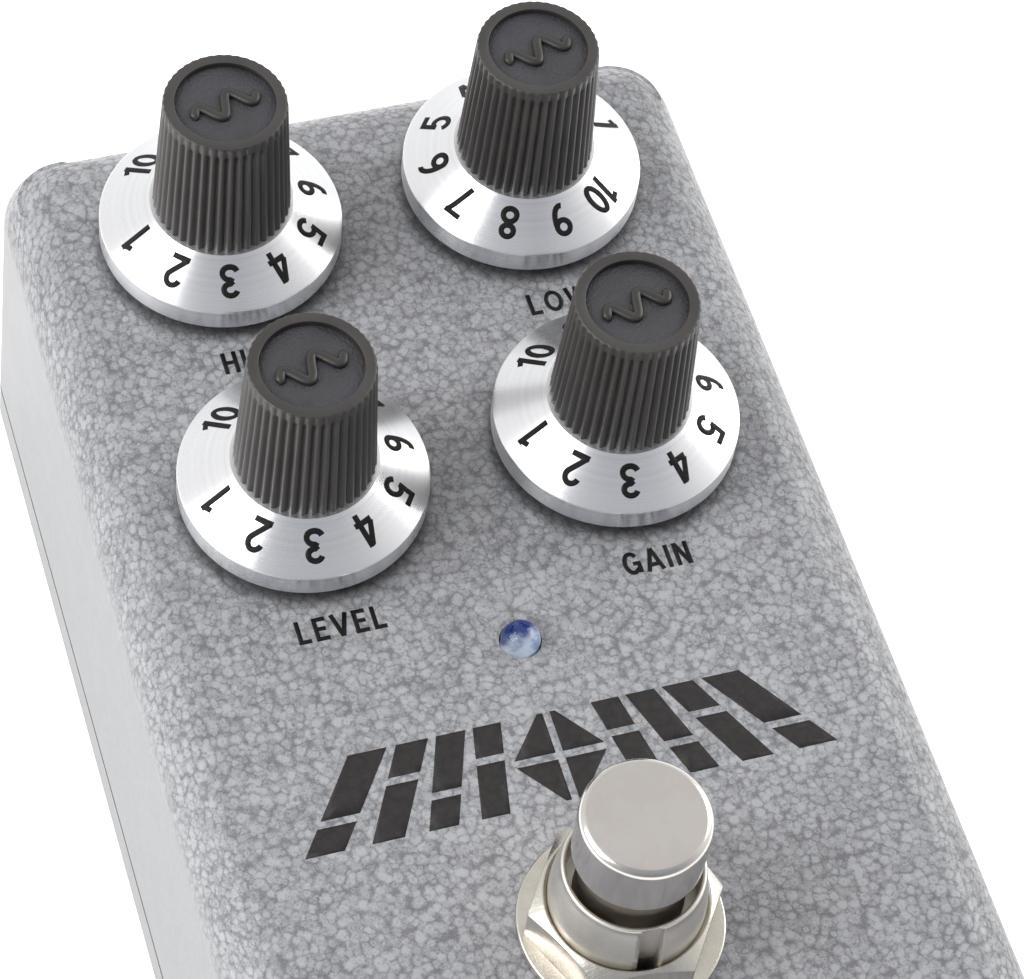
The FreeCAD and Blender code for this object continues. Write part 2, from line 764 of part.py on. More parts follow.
def make_small_board():
    """The footswitch's own board, slotted for the lugs."""
    front, rear = small_board_limits()
    board = block(0, (front + rear) / 2, small_board_top - board_thickness,
                  switch_width + small_board_margin, rear - front, board_thickness)
    for x, y in lug_places():
        board = board.cut(block(x, y, small_board_top - board_thickness - 1, lug_width + lug_hole_clearance,
                                lug_thickness + lug_hole_clearance, board_thickness + 2))
    return board


def make_ribbon():
    """A flat cable from the footswitch board's rear edge, round one bend, up to the main board."""
    half = ribbon_thickness / 2
    start_y = small_board_limits()[1]
    level = small_board_top - board_thickness / 2
    end_y = board_limits()[0] + ribbon_inset
    bend = ribbon_bend_share * min(end_y - start_y, board_z - level)
    centre_y = end_y - bend
    centre_z = level + bend
    edges = []
    sides = []
    for offset in (-half, half):
        radius = bend - offset
        low = vector(-ribbon_width / 2, start_y, level + offset)
        turn_in = vector(-ribbon_width / 2, centre_y, level + offset)
        reach = radius * math.sqrt(0.5)
        middle = vector(-ribbon_width / 2, centre_y + reach, centre_z - reach)
        turn_out = vector(-ribbon_width / 2, end_y - offset, centre_z)
        high = vector(-ribbon_width / 2, end_y - offset, board_z)
        edges += [Part.makeLine(low, turn_in), Part.Arc(turn_in, middle, turn_out).toShape()]
        edges.append(Part.makeLine(turn_out, high))
        sides.append((low, high))
    edges.append(Part.makeLine(sides[0][0], sides[1][0]))
    edges.append(Part.makeLine(sides[0][1], sides[1][1]))
    face = Part.Face(Part.Wire(Part.__sortEdges__(edges)))
    return face.extrude(vector(ribbon_width, 0, 0))


def make_chips():
    """Two dual-in-line amplifier chips under the front of the board."""
    y = board_limits()[0] + chip_margin
    length, width, height = chip_size
    places = (-chip_offset_x, chip_offset_x)
    return group([block(x, y, board_z - height, length, width, height) for x in places])


def make_electrolytics():
    """Four upright can capacitors on the board, in the gap between the two rows of pots."""
    low = front_row_y + pot_depth / 2
    gap = knob_pitch_y - pot_depth
    cans = []
    for share in can_shares:
        for x in (-can_offset_x, can_offset_x):
            cans.append(cylinder(can_radius, board_top, board_top + can_height, x, low + share * gap))
    return group(cans)


def make_film_caps():
    """A row of box film capacitors under the board, behind the chips."""
    y = board_limits()[0] + film_margin
    length, width, height = film_size
    first = -film_pitch * (film_count - 1) / 2
    return group([block(first + film_pitch * step, y, board_z - height, length, width, height)
                  for step in range(film_count)])


def make_resistors():
    """Small resistors on the board, in a row on each side of the light."""
    y = led_y - resistor_length / 2
    bodies = []
    for sign in (-1, 1):
        for step in range(resistors_a_side):
            start = vector(sign * (resistor_first_x + resistor_pitch * step), y, board_top + resistor_radius)
            bodies.append(Part.makeCylinder(resistor_radius, resistor_length, start, vector(0, 1, 0)))
    return group(bodies)


def main():
    """Builds every piece and writes each to its own file."""
    os.makedirs("parts", exist_ok=True)
    pieces = {
        "enclosure": make_enclosure(),
        "bottom_cover": make_cover(),
        "cover_screws": make_cover_screws(),
        "rubber_feet": make_feet(),
        "pot_washers": make_pot_washers(),
        "pot_nuts": make_pot_nuts(),
        "pot_legs": make_pot_legs(),
        "status_led": make_led(),
        "led_leads": make_led_leads(),
        "footswitch_bushing": make_bushing(),
        "footswitch_washer": make_switch_washer(),
        "footswitch_nut": make_switch_nut(),
        "footswitch_lower_nut": make_lower_nut(),
        "footswitch_button": make_button(),
        "footswitch_plunger": make_plunger(),
        "footswitch_spring": make_spring(),
        "footswitch_body": make_switch_body(),
        "footswitch_lugs": make_lugs(),
        "dc_socket_body": make_dc_body(),
        "dc_socket_pin": make_dc_pin(),
        "main_board": make_main_board(),
        "footswitch_board": make_small_board(),
        "ribbon_cable": make_ribbon(),
        "amplifier_chips": make_chips(),
        "electrolytic_capacitors": make_electrolytics(),
        "film_capacitors": make_film_caps(),
        "resistors": make_resistors(),
    }
    for name, (x, y) in knob_places.items():
        pieces[name + "_knob"] = make_knob(x, y)
        pieces[name + "_dial"] = make_dial(x, y)
        pieces[name + "_pot_shaft"] = make_shaft(x, y)
        pieces[name + "_pot_body"] = make_pot(x, y)
    for name, x in (("input", jack_x), ("output", -jack_x)):
        pieces[name + "_jack_body"] = make_jack_body(x)
        pieces[name + "_jack_bushing"] = make_jack_bushing(x)
        pieces[name + "_jack_washer"] = make_jack_washer(x)
        pieces[name + "_jack_nut"] = make_jack_nut(x)
        pieces[name + "_jack_contacts"] = make_contacts(x)
    for name, shape in pieces.items():
        shape.exportStep("parts/" + name + ".step")
        print(name, len(shape.Solids), shape.isValid(), round(shape.Volume, 1))


main()
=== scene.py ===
"""Guitar effects pedal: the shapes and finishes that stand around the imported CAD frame.

Lengths are in metres. Each sub-assembly is a class that holds its sizes and builds its own pieces.
"""

import logging
import math
from collections.abc import Callable
from dataclasses import dataclass, field
from enum import Enum

import bmesh
import bpy
import numpy as np
from mathutils import Matrix, Vector
from mathutils.geometry import delaunay_2d_cdt


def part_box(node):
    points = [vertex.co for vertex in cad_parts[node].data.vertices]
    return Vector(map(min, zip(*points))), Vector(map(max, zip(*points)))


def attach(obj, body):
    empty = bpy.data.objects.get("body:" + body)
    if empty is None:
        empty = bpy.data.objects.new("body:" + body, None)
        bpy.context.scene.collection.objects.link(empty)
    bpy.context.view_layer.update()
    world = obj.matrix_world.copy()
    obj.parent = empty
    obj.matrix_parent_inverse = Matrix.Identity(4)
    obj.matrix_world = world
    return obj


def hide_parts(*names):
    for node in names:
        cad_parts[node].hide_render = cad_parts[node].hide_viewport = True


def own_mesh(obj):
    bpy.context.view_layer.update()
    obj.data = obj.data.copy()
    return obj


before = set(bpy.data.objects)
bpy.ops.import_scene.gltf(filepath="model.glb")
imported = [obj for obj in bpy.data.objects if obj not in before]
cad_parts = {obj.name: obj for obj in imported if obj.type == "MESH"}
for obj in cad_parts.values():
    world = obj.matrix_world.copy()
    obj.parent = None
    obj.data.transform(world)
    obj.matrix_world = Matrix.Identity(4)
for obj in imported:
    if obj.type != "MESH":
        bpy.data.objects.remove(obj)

LOG = logging.getLogger("pedal")
MM = 0.001
FULL_TURN = 2 * math.pi
CONTROLS = ("high", "low", "level", "gain")
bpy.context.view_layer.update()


# ================================================================ mesh tools
class Ends(Enum):
    """How the first and last rows of a lofted grid are closed."""

    POLES = "each end row closes to a point"
    RING = "the last row joins the first"
    OPEN = "both end rows stay open"


@dataclass
class Skin:
    """A surface as arrays: points, faces, and one UV pair for each face corner.

    Args:
        points: positions, one row each.
        quads: four point numbers in each row.
        triangles: three point numbers in each row.
        quad_uv: four UV pairs for each quad.
        triangle_uv: three UV pairs for each triangle.
    """

    points: np.ndarray
    quads: np.ndarray
    triangles: np.ndarray
    quad_uv: np.ndarray
    triangle_uv: np.ndarray

    def moved(self, x: float, y: float) -> "Skin":
        """Returns the same surface, shifted across and along."""
        return Skin(self.points + np.array([x, y, 0.0]), self.quads, self.triangles,
                    self.quad_uv, self.triangle_uv)


NO_QUADS = np.zeros((0, 4), int)
NO_TRIANGLES = np.zeros((0, 3), int)


def bare(points: np.ndarray, quads: np.ndarray, triangles: np.ndarray) -> Skin:
    """Makes a surface that has no UVs."""
    return Skin(points, quads, triangles, np.zeros(0), np.zeros(0))


def loft(rings: np.ndarray, ends: Ends) -> Skin:
    """Joins closed rings of points, row after row, into one outward-facing surface.

    Point (i, j) is column j of ring i. Each face joins columns j and j + 1 of rings i and i + 1, and
    the last column joins the first. With rings that climb counter-clockwise, faces point outwards.
    The UV's first number is the share of a turn, and its second is the length along the profile.

    Args:
        rings: array of shape (rows, columns, 3).
        ends: how the first and last rows are closed.

    Returns:
        The surface.
    """
    rows, columns = rings.shape[:2]
    number = np.arange(rows * columns).reshape(rows, columns)
    if ends is Ends.RING:
        number = np.vstack([number, number[:1]])
        track = np.concatenate([rings, rings[:1]])[:, 0]
    else:
        track = rings[:, 0]
    after = np.roll(number, -1, axis=1)
    quads = np.stack([number[:-1], after[:-1], after[1:], number[1:]], axis=-1).reshape(-1, 4)
    steps = np.linalg.norm(np.diff(track, axis=0), axis=1)
    along = np.concatenate([[0.0], np.cumsum(steps)])
    left = np.broadcast_to(np.arange(columns) / columns, (len(along) - 1, columns))
    right = left + 1 / columns
    low = np.broadcast_to(along[:-1, None], left.shape)
    high = np.broadcast_to(along[1:, None], left.shape)
    around = ((left, low), (right, low), (right, high), (left, high))
    quad_uv = np.stack([np.stack(pair, axis=-1) for pair in around], axis=2).reshape(-1, 4, 2)
    points = rings.reshape(-1, 3)
    triangles = NO_TRIANGLES
    triangle_uv = np.zeros((0, 3, 2))
    if ends is Ends.POLES:
        poles = np.stack([rings[0].mean(axis=0), rings[-1].mean(axis=0)])
        first, last = len(points), len(points) + 1
        points = np.vstack([points, poles])
        foot = np.stack([np.full(columns, first), after[0], number[0]], axis=-1)
        head = np.stack([number[-1], after[-1], np.full(columns, last)], axis=-1)
        triangles = np.vstack([foot, head])
        turn, step = left[0], 1 / columns
        bottom, top = np.zeros(columns), np.full(columns, along[-1])
        foot_uv = [(turn, bottom), (turn + step, bottom), (turn, bottom)]
        head_uv = [(turn, top), (turn + step, top), (turn + step / 2, top)]
        triangle_uv = np.vstack([np.stack([np.stack(pair, axis=-1) for pair in uv], axis=1)
                                 for uv in (foot_uv, head_uv)])
    return Skin(points, quads, triangles, quad_uv, triangle_uv)


def turned(profile: np.ndarray, columns: int) -> np.ndarray:
    """Spins a profile about Z: point (i, j) is at radius r_i, height z_i and angle 2 pi j / columns.

    Args:
        profile: array of (radius, height) rows.
        columns: how many points go round.

    Returns:
        Rings of shape (rows, columns, 3).
    """
    angle = np.arange(columns) * FULL_TURN / columns
    radius, height = profile[:, :1], profile[:, 1:]
    return np.stack([radius * np.cos(angle), radius * np.sin(angle), height + 0 * angle], axis=-1)


def eased(corners: list[tuple[float, float, float]], steps: int = 6) -> np.ndarray:
    """Rounds the corners of a profile with arcs.

    Each corner is (radius, height, rounding). The arc touches both sides of the corner at rounding
    divided by the tangent of half the angle between them, and its centre is on their bisector.

    Args:
        corners: the profile's corners. The first and last stay sharp.
        steps: how many pieces each arc has.

    Returns:
        The rounded profile, as (radius, height) rows.
    """
    points = [np.array(corners[0][:2])]
    for before, here, after in zip(corners, corners[1:], corners[2:]):
        corner, rounding = np.array(here[:2]), here[2]
        if rounding <= 0:
            points.append(corner)
            continue
        back = np.array(before[:2]) - corner
        ahead = np.array(after[:2]) - corner
        back, ahead = back / np.linalg.norm(back), ahead / np.linalg.norm(ahead)
        half = math.acos(float(np.clip(back @ ahead, -1, 1))) / 2
        centre = corner + (back + ahead) / np.linalg.norm(back + ahead) * rounding / math.sin(half)
        start = corner + back * rounding / math.tan(half) - centre
        end = corner + ahead * rounding / math.tan(half) - centre
        first = math.atan2(start[1], start[0])
        sweep = (math.atan2(end[1], end[0]) - first + math.pi) % FULL_TURN - math.pi
        for share in np.linspace(0, 1, steps + 1):
            angle = first + sweep * share
            points.append(centre + rounding * np.array([math.cos(angle), math.sin(angle)]))
    points.append(np.array(corners[-1][:2]))
    return np.array(points)


def linked(name: str, data: bpy.types.ID) -> bpy.types.Object:
    """Makes an object of a mesh, a light or a camera and links it to the scene.

    Args:
        name: the object's name.
        data: what it shows.

    Returns:
        The new object.
    """
    made = bpy.data.objects.new(name, data)
    bpy.context.scene.collection.objects.link(made)
    return made


def footprint(node: str) -> tuple[float, float, float]:
    """Reads where a round CAD node stands.

    Args:
        node: the CAD node.

    Returns:
        Its axis across, its axis along, and its radius.
    """
    low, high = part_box(node)
    return (low.x + high.x) / 2, (low.y + high.y) / 2, (high.x - low.x) / 2


def mesh_object(name: str, skin: Skin, sharp_degrees: float = 35.0) -> bpy.types.Object:
    """Puts a surface into a mesh and links its object at the origin.

    Args:
        name: the piece's name.
        skin: the surface, in place.
        sharp_degrees: edges that bend by more than this stay crisp.

    Returns:
        The new object.
    """
    mesh = bpy.data.meshes.new(name)
    faces = skin.quads.tolist() + skin.triangles.tolist()
    mesh.from_pydata(skin.points.tolist(), [], faces)
    uv = np.concatenate([skin.quad_uv.reshape(-1), skin.triangle_uv.reshape(-1)])
    if len(uv) == 2 * len(mesh.loops):
        layer = mesh.uv_layers.new(name="surface")
        layer.data.foreach_set("uv", uv.astype(np.float32))
    mesh.shade_smooth()
    mesh.set_sharp_from_angle(angle=math.radians(sharp_degrees))
    mesh.update()
    return linked(name, mesh)


def spun(name: str, profile: np.ndarray, columns: int, axis: tuple[float, float],
         ends: Ends = Ends.POLES, sharp_degrees: float = 40.0) -> bpy.types.Object:
    """Spins a profile about an upright axis into a new piece.

    Args:
        name: the piece's name.
        profile: array of (radius, height) rows.
        columns: how many points go round.
        axis: where the axis stands, across and along.
        ends: how the first and last rows are closed.
        sharp_degrees: edges that bend by more than this stay crisp.

    Returns:
        The new object.
    """
    return mesh_object(name, loft(turned(profile, columns), ends).moved(*axis), sharp_degrees)


def weigh_normals(piece: bpy.types.Object) -> None:
    """Lets large faces set the shading of their edges, so that flats stay flat.

    Args:
        piece: the mesh object to change.
    """
    modifier = piece.modifiers.new("flat faces lead", "WEIGHTED_NORMAL")
    modifier.keep_sharp = True
    modifier.weight = 80


def smooth_copy(name: str, node: str, sharp_degrees: float = 32.0) -> bpy.types.Object:
    """Copies a CAD node's mesh, joins its doubled points and level faces, and shades it by angle.

    Args:
        name: the new piece's name.
        node: the CAD node.
        sharp_degrees: edges that bend by more than this stay crisp.

    Returns:
        The new object. The CAD node isn't changed.
    """
    doubled, level = 0.002 * MM, math.radians(0.4)
    work = bmesh.new()
    work.from_mesh(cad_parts[node].data)
    bmesh.ops.remove_doubles(work, verts=work.verts, dist=doubled)
    bmesh.ops.dissolve_limit(work, angle_limit=level, verts=work.verts, edges=work.edges)
    mesh = bpy.data.meshes.new(name)
    work.to_mesh(mesh)
    work.free()
    while mesh.color_attributes:
        mesh.color_attributes.remove(mesh.color_attributes[0])
    mesh.shade_smooth()
    mesh.set_sharp_from_angle(angle=math.radians(sharp_degrees))
    made = linked(name, mesh)
    weigh_normals(made)
    return made


def place(piece: bpy.types.Object, body: str, slot: str, material: bpy.types.Material,
          *nodes: str) -> bpy.types.Object:
    """Gives a piece its finish and its body, and hides the CAD nodes that it stands for.

    Args:
        piece: the finished mesh object.
        body: the CAD body it rides on.
        slot: the record's material slot; not used.
        material: its finish.
        nodes: CAD nodes that it replaces.

    Returns:
        The same piece.
    """
    piece.data.materials.clear()
    piece.data.materials.append(material)
    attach(piece, body)
    if nodes:
        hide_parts(*nodes)
    LOG.info("%s rides on %s, finish %s", piece.name, body, material.name)
    return piece


def dress(material: bpy.types.Material, *nodes: str) -> None:
    """Gives carried-over CAD nodes a finish.

    Args:
        material: the finish.
        nodes: names of CAD nodes whose shape is kept.
    """
    for node in nodes:
        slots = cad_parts[node].data.materials
        slots.clear()
        slots.append(material)
        LOG.info("%s keeps its shape, finish %s", node, material.name)


# ================================================================ shader tools
Colour = tuple[float, float, float]
Source = bpy.types.NodeSocket | float
WHITE = (1.0, 1.0, 1.0, 1.0)
BLACK = (0.0, 0.0, 0.0, 1.0)


def linear(colour: Colour) -> tuple[float, float, float, float]:
    """Turns a screen colour into a linear one: ((c + 0.055) / 1.055) to the power 2.4.

    Args:
        colour: red, green and blue, from 0 to 255.

    Returns:
        The same colour from 0 to 1, opaque.
    """
    share = np.array(colour) / 255
    value = np.where(share <= 0.04045, share / 12.92, ((share + 0.055) / 1.055) ** 2.4)
    return (float(value[0]), float(value[1]), float(value[2]), 1.0)


class Graph:
    """A thin layer over one node tree, which adds nodes and joins their sockets."""

    def __init__(self, tree: bpy.types.NodeTree) -> None:
        """Keeps the tree and counts the nodes added to it.

        Args:
            tree: a material's or a group's node tree.
        """
        self.tree = tree
        self.count = 0

    def add(self, kind: str, inputs: dict | None = None, **settings) -> bpy.types.Node:
        """Adds a node.

        Args:
            kind: Blender's name of the node type.
            inputs: value or source socket for each named or numbered input.
            settings: the node's own properties.

        Returns:
            The node.
        """
        node = self.tree.nodes.new(kind)
        node.location = (220 * (self.count % 8) - 1500, -260 * (self.count // 8))
        self.count += 1
        for key, value in settings.items():
            setattr(node, key, value)
        for key, value in (inputs or {}).items():
            if isinstance(value, bpy.types.NodeSocket):
                self.tree.links.new(value, node.inputs[key])
            else:
                node.inputs[key].default_value = value
        return node

    def math(self, operation: str, first: Source, second: Source = 0.5,
             third: Source = 0.5) -> bpy.types.NodeSocket:
        """Adds a Math node on numbers or sockets and returns its result."""
        given = {0: first, 1: second, 2: third}
        return self.add("ShaderNodeMath", given, operation=operation).outputs[0]

    def weighed(self, first: Source, share: float, second: Source,
                other_share: float) -> bpy.types.NodeSocket:
        """Adds two values, each times its share, and returns the sum."""
        return self.math("MULTIPLY_ADD", first, share, self.math("MULTIPLY", second, other_share))

    def spread(self, value: bpy.types.NodeSocket, low: float, high: float, to_low: float = 0.0,
               to_high: float = 1.0, smooth: bool = True) -> bpy.types.NodeSocket:
        """Carries a value from one range to another, smoothly or straight, held at both ends.

        Args:
            value: source socket.
            low: start of the source range.
            high: end of the source range.
            to_low: result at low.
            to_high: result at high.
            smooth: eases in and out if true.

        Returns:
            The result's socket.
        """
        kind = "SMOOTHSTEP" if smooth else "LINEAR"
        node = self.add("ShaderNodeMapRange", {0: value, 1: low, 2: high, 3: to_low, 4: to_high},
                        interpolation_type=kind, clamp=True)
        return node.outputs[0]

    def mix(self, share: bpy.types.NodeSocket, first: bpy.types.NodeSocket | tuple,
            second: bpy.types.NodeSocket | tuple) -> bpy.types.NodeSocket:
        """Blends two colours or colour sockets by a share and returns the result."""
        node = self.add("ShaderNodeMix", {0: share, 6: first, 7: second}, data_type="RGBA")
        return node.outputs[2]

    def place(self, centre: tuple[float, float, float] = (0.0, 0.0, 0.0),
              stretch: tuple[float, float, float] = (1.0, 1.0, 1.0)) -> bpy.types.NodeSocket:
        """Reads Object coordinates, measured from a centre and stretched per axis.

        Args:
            centre: the point that becomes the origin.
            stretch: factor on each axis.

        Returns:
            The coordinate's socket.
        """
        source = self.add("ShaderNodeTexCoord").outputs["Object"]
        shift = tuple(-c * s for c, s in zip(centre, stretch))
        return self.add("ShaderNodeMapping", {0: source, 1: shift, 3: stretch}).outputs[0]


def group_output(graph: Graph, results: dict[str, bpy.types.NodeSocket]) -> None:
    """Joins a group's results to its output node.

    Args:
        graph: the group's graph.
        results: source socket for each output name.
    """
    end = graph.add("NodeGroupOutput")
    for name, source in results.items():
        graph.tree.links.new(source, end.inputs[name])


def new_group(name: str, inputs: dict[str, float | str],
              outputs: list[str]) -> tuple[Graph, bpy.types.Node]:
    """Makes an empty shader group with named sockets.

    Args:
        name: the group's name.
        inputs: default of each input, or the word vector for a coordinate.
        outputs: names of the value outputs.

    Returns:
        The graph to fill and its input node.
    """
    tree = bpy.data.node_groups.new(name, "ShaderNodeTree")
    for label, default in inputs.items():
        kind = "NodeSocketVector" if default == "vector" else "NodeSocketFloat"
        socket = tree.interface.new_socket(label, in_out="INPUT", socket_type=kind)
        if default != "vector":
            socket.default_value = default
    for label in outputs:
        tree.interface.new_socket(label, in_out="OUTPUT", socket_type="NodeSocketFloat")
    graph = Graph(tree)
    return graph, graph.add("NodeGroupInput")


class SharedEffects:
    """Shader groups that several finishes use, each built once."""

    def __init__(self) -> None:
        """Builds every group."""
        self.hammer = self._hammer()
        self.grain = self._grain()
        self.scuffs = self._scuffs()
        self.turning = self._turning()
        self.dust = self._dust()

    def _hammer(self) -> bpy.types.NodeTree:
        """Soft bubbles of hammered paint in three sizes, heaped on each other, some dimpled.

        Each size is a layer of round bubbles, one about each point of a wavering cell pattern read
        from above. A bubble falls off with the distance from its point and meets its neighbours in a
        thin groove. The highest layer shows.

        Returns:
            The group.
        """
        graph, given = new_group("hammered cells", {"Coordinate": "vector", "Cell Size": 1.0 * MM,
                                                    "Unevenness": 0.30}, ["Dome", "Tone", "Dimple"])
        scale = graph.math("DIVIDE", 1.0, given.outputs["Cell Size"])
        finer = graph.math("MULTIPLY", scale, 1.6)
        wobble = graph.add("ShaderNodeTexNoise", {"Vector": given.outputs["Coordinate"], "Scale": finer,
                                                  "Detail": 3.0, "Roughness": 0.7})
        offset = graph.add("ShaderNodeVectorMath", {0: wobble.outputs["Color"], 1: (0.5, 0.5, 0.5)},
                           operation="SUBTRACT").outputs[0]
        reach = graph.math("MULTIPLY", given.outputs["Cell Size"], given.outputs["Unevenness"])
        push = graph.add("ShaderNodeVectorMath", {0: offset, 3: reach}, operation="SCALE").outputs[0]
        bent = graph.add("ShaderNodeVectorMath", {0: given.outputs["Coordinate"], 1: push},
                         operation="ADD").outputs[0]
        dome, tone, pits = 0.0, 0.0, 0.0
        layers = ((1.0, 1.0), (1.3, 0.90), (1.75, 0.76))
        for fineness, height in layers:
            size = graph.math("MULTIPLY", scale, fineness)
            settings = {"Vector": bent, "Scale": size, "Randomness": 1.0}
            near = graph.add("ShaderNodeTexVoronoi", settings, voronoi_dimensions="2D")
            edge = graph.add("ShaderNodeTexVoronoi", settings, voronoi_dimensions="2D",
                             feature="DISTANCE_TO_EDGE")
            round_off = graph.spread(near.outputs["Distance"], 0.16, 0.60, 1.0, 0.0)
            groove = graph.spread(edge.outputs["Distance"], 0.0, 0.16, 0.42, 1.0)
            shape = graph.math("MULTIPLY", graph.math("MULTIPLY", round_off, groove), height)
            parts = graph.add("ShaderNodeSeparateColor", {0: near.outputs["Color"]})
            chance = graph.math("MULTIPLY_ADD", parts.outputs[0], 0.62, 0.45)
            shape = graph.math("MULTIPLY", shape, chance)
            pit = graph.math("MULTIPLY", graph.spread(near.outputs["Distance"], 0.06, 0.20, 1.0, 0.0),
                             graph.spread(parts.outputs[1], 0.60, 0.66))
            pits = graph.math("MAXIMUM", pits, pit)
            tone = graph.math("ADD", tone, graph.math("MULTIPLY", parts.outputs[2], 0.33))
            dome = graph.math("SMOOTH_MAX", dome, shape, 0.08)
        group_output(graph, {"Dome": dome, "Tone": tone, "Dimple": pits})
        return graph.tree

    def _grain(self) -> bpy.types.NodeTree:
        """Fine even grain: two octaves of noise about one half.

        Returns:
            The group.
        """
        graph, given = new_group("fine grain", {"Coordinate": "vector", "Grain Size": 0.1 * MM,
                                                "Contrast": 1.0}, ["Grain"])
        scale = graph.math("DIVIDE", 1.0, given.outputs["Grain Size"])
        noise = graph.add("ShaderNodeTexNoise", {"Vector": given.outputs["Coordinate"], "Scale": scale,
                                                 "Detail": 3.0, "Roughness": 0.55})
        centred = graph.math("SUBTRACT", noise.outputs[0], 0.5)
        grain = graph.math("MULTIPLY_ADD", centred, given.outputs["Contrast"], 0.5)
        group_output(graph, {"Grain": grain})
        return graph.tree

    def _scuffs(self) -> bpy.types.NodeTree:
        """Hairline scratches: the narrow middle of two noises stretched in crossing directions.

        Returns:
            The group.
        """
        graph, given = new_group("hairline scuffs", {"Coordinate": "vector", "Spacing": 2.0 * MM,
                                                     "Width": 0.02}, ["Scuff"])
        scale = graph.math("DIVIDE", 1.0, given.outputs["Spacing"])
        lines = []
        for turn, stretch in ((0.4, (1.0, 9.0, 1.0)), (2.1, (7.0, 1.0, 1.0))):
            laid = graph.add("ShaderNodeMapping", {0: given.outputs["Coordinate"], 2: (0.0, 0.3, turn),
                                                   3: stretch}).outputs[0]
            noise = graph.add("ShaderNodeTexNoise", {"Vector": laid, "Scale": scale, "Detail": 1.0})
            away = graph.math("ABSOLUTE", graph.math("SUBTRACT", noise.outputs[0], 0.5))
            near = graph.math("SUBTRACT", given.outputs["Width"], away)
            lines.append(graph.math("DIVIDE", near, given.outputs["Width"]))
        both = graph.math("MAXIMUM", lines[0], lines[1])
        group_output(graph, {"Scuff": graph.math("MAXIMUM", both, 0.0)})
        return graph.tree

    def _turning(self) -> bpy.types.NodeTree:
        """Lines left by a lathe: noise read along the profile only, so every line goes right round.

        Returns:
            The group.
        """
        graph, given = new_group("turning lines", {"Coordinate": "vector", "Line Width": 0.08 * MM,
                                                   "Waver": 0.3}, ["Line", "Band"])
        parts = graph.add("ShaderNodeSeparateXYZ", {0: given.outputs["Coordinate"]})
        along = graph.math("DIVIDE", parts.outputs[1], given.outputs["Line Width"])
        around = graph.math("MULTIPLY", parts.outputs[0], given.outputs["Waver"])
        laid = graph.add("ShaderNodeCombineXYZ", {0: around, 1: along}).outputs[0]
        fine = graph.add("ShaderNodeTexNoise", {"Vector": laid, "Scale": 1.0, "Detail": 2.0})
        broad = graph.add("ShaderNodeTexNoise", {"Vector": laid, "Scale": 0.12, "Detail": 1.0})
        group_output(graph, {"Line": fine.outputs[0], "Band": broad.outputs[0]})
        return graph.tree

    def _dust(self) -> bpy.types.NodeTree:
        """Soft patches of handling and dust: broad noise, eased at both ends.

        Returns:
            The group.
        """
        graph, given = new_group("soft patches", {"Coordinate": "vector", "Patch Size": 12.0 * MM},
                                 ["Patch"])
        scale = graph.math("DIVIDE", 1.0, given.outputs["Patch Size"])
        noise = graph.add("ShaderNodeTexNoise", {"Vector": given.outputs["Coordinate"], "Scale": scale,
                                                 "Detail": 4.0, "Roughness": 0.6})
        group_output(graph, {"Patch": graph.spread(noise.outputs[0], 0.35, 0.65)})
        return graph.tree


EFFECTS = SharedEffects()


class Shader(Graph):
    """One material's graph, with its Principled shader and helpers for the shared effects."""

    def __init__(self, name: str, **sockets) -> None:
        """Makes the material.

        Args:
            name: the material's name.
            sockets: values of the Principled shader's sockets, with _ for a space.
        """
        self.material = bpy.data.materials.new(name)
        self.material.use_nodes = True
        super().__init__(self.material.node_tree)
        self.tree.nodes.clear()
        self.body = self.add("ShaderNodeBsdfPrincipled")
        end = self.add("ShaderNodeOutputMaterial")
        self.tree.links.new(self.body.outputs[0], end.inputs[0])
        for key, value in sockets.items():
            self.body.inputs[key.replace("_", " ")].default_value = value

    def effect(self, group: bpy.types.NodeTree, coordinate: bpy.types.NodeSocket,
               **values: float) -> bpy.types.Node:
        """Places a shared group.

        Args:
            group: the shared group.
            coordinate: where it is read.
            values: its other inputs, with _ for a space.

        Returns:
            The group's node.
        """
        node = self.add("ShaderNodeGroup", node_tree=group)
        self.tree.links.new(coordinate, node.inputs["Coordinate"])
        for key, value in values.items():
            node.inputs[key.replace("_", " ")].default_value = value
        return node

    def join(self, socket: str, source: bpy.types.NodeSocket) -> None:
        """Joins a source to one of the Principled shader's sockets."""
        self.tree.links.new(source, self.body.inputs[socket])

    def bump(self, height: bpy.types.NodeSocket, depth: float, strength: float = 1.0) -> None:
        """Raises the surface by a height map.

        Args:
            height: source socket, from 0 to 1.
            depth: how far 1 stands above 0.
            strength: share of the effect.
        """
        node = self.add("ShaderNodeBump", {"Strength": strength, "Distance": depth, "Height": height})
        self.join("Normal", node.outputs[0])

    def uv(self) -> bpy.types.NodeSocket:
        """Reads the piece's own UV map, called surface."""
        return self.add("ShaderNodeUVMap", uv_map="surface").outputs[0]


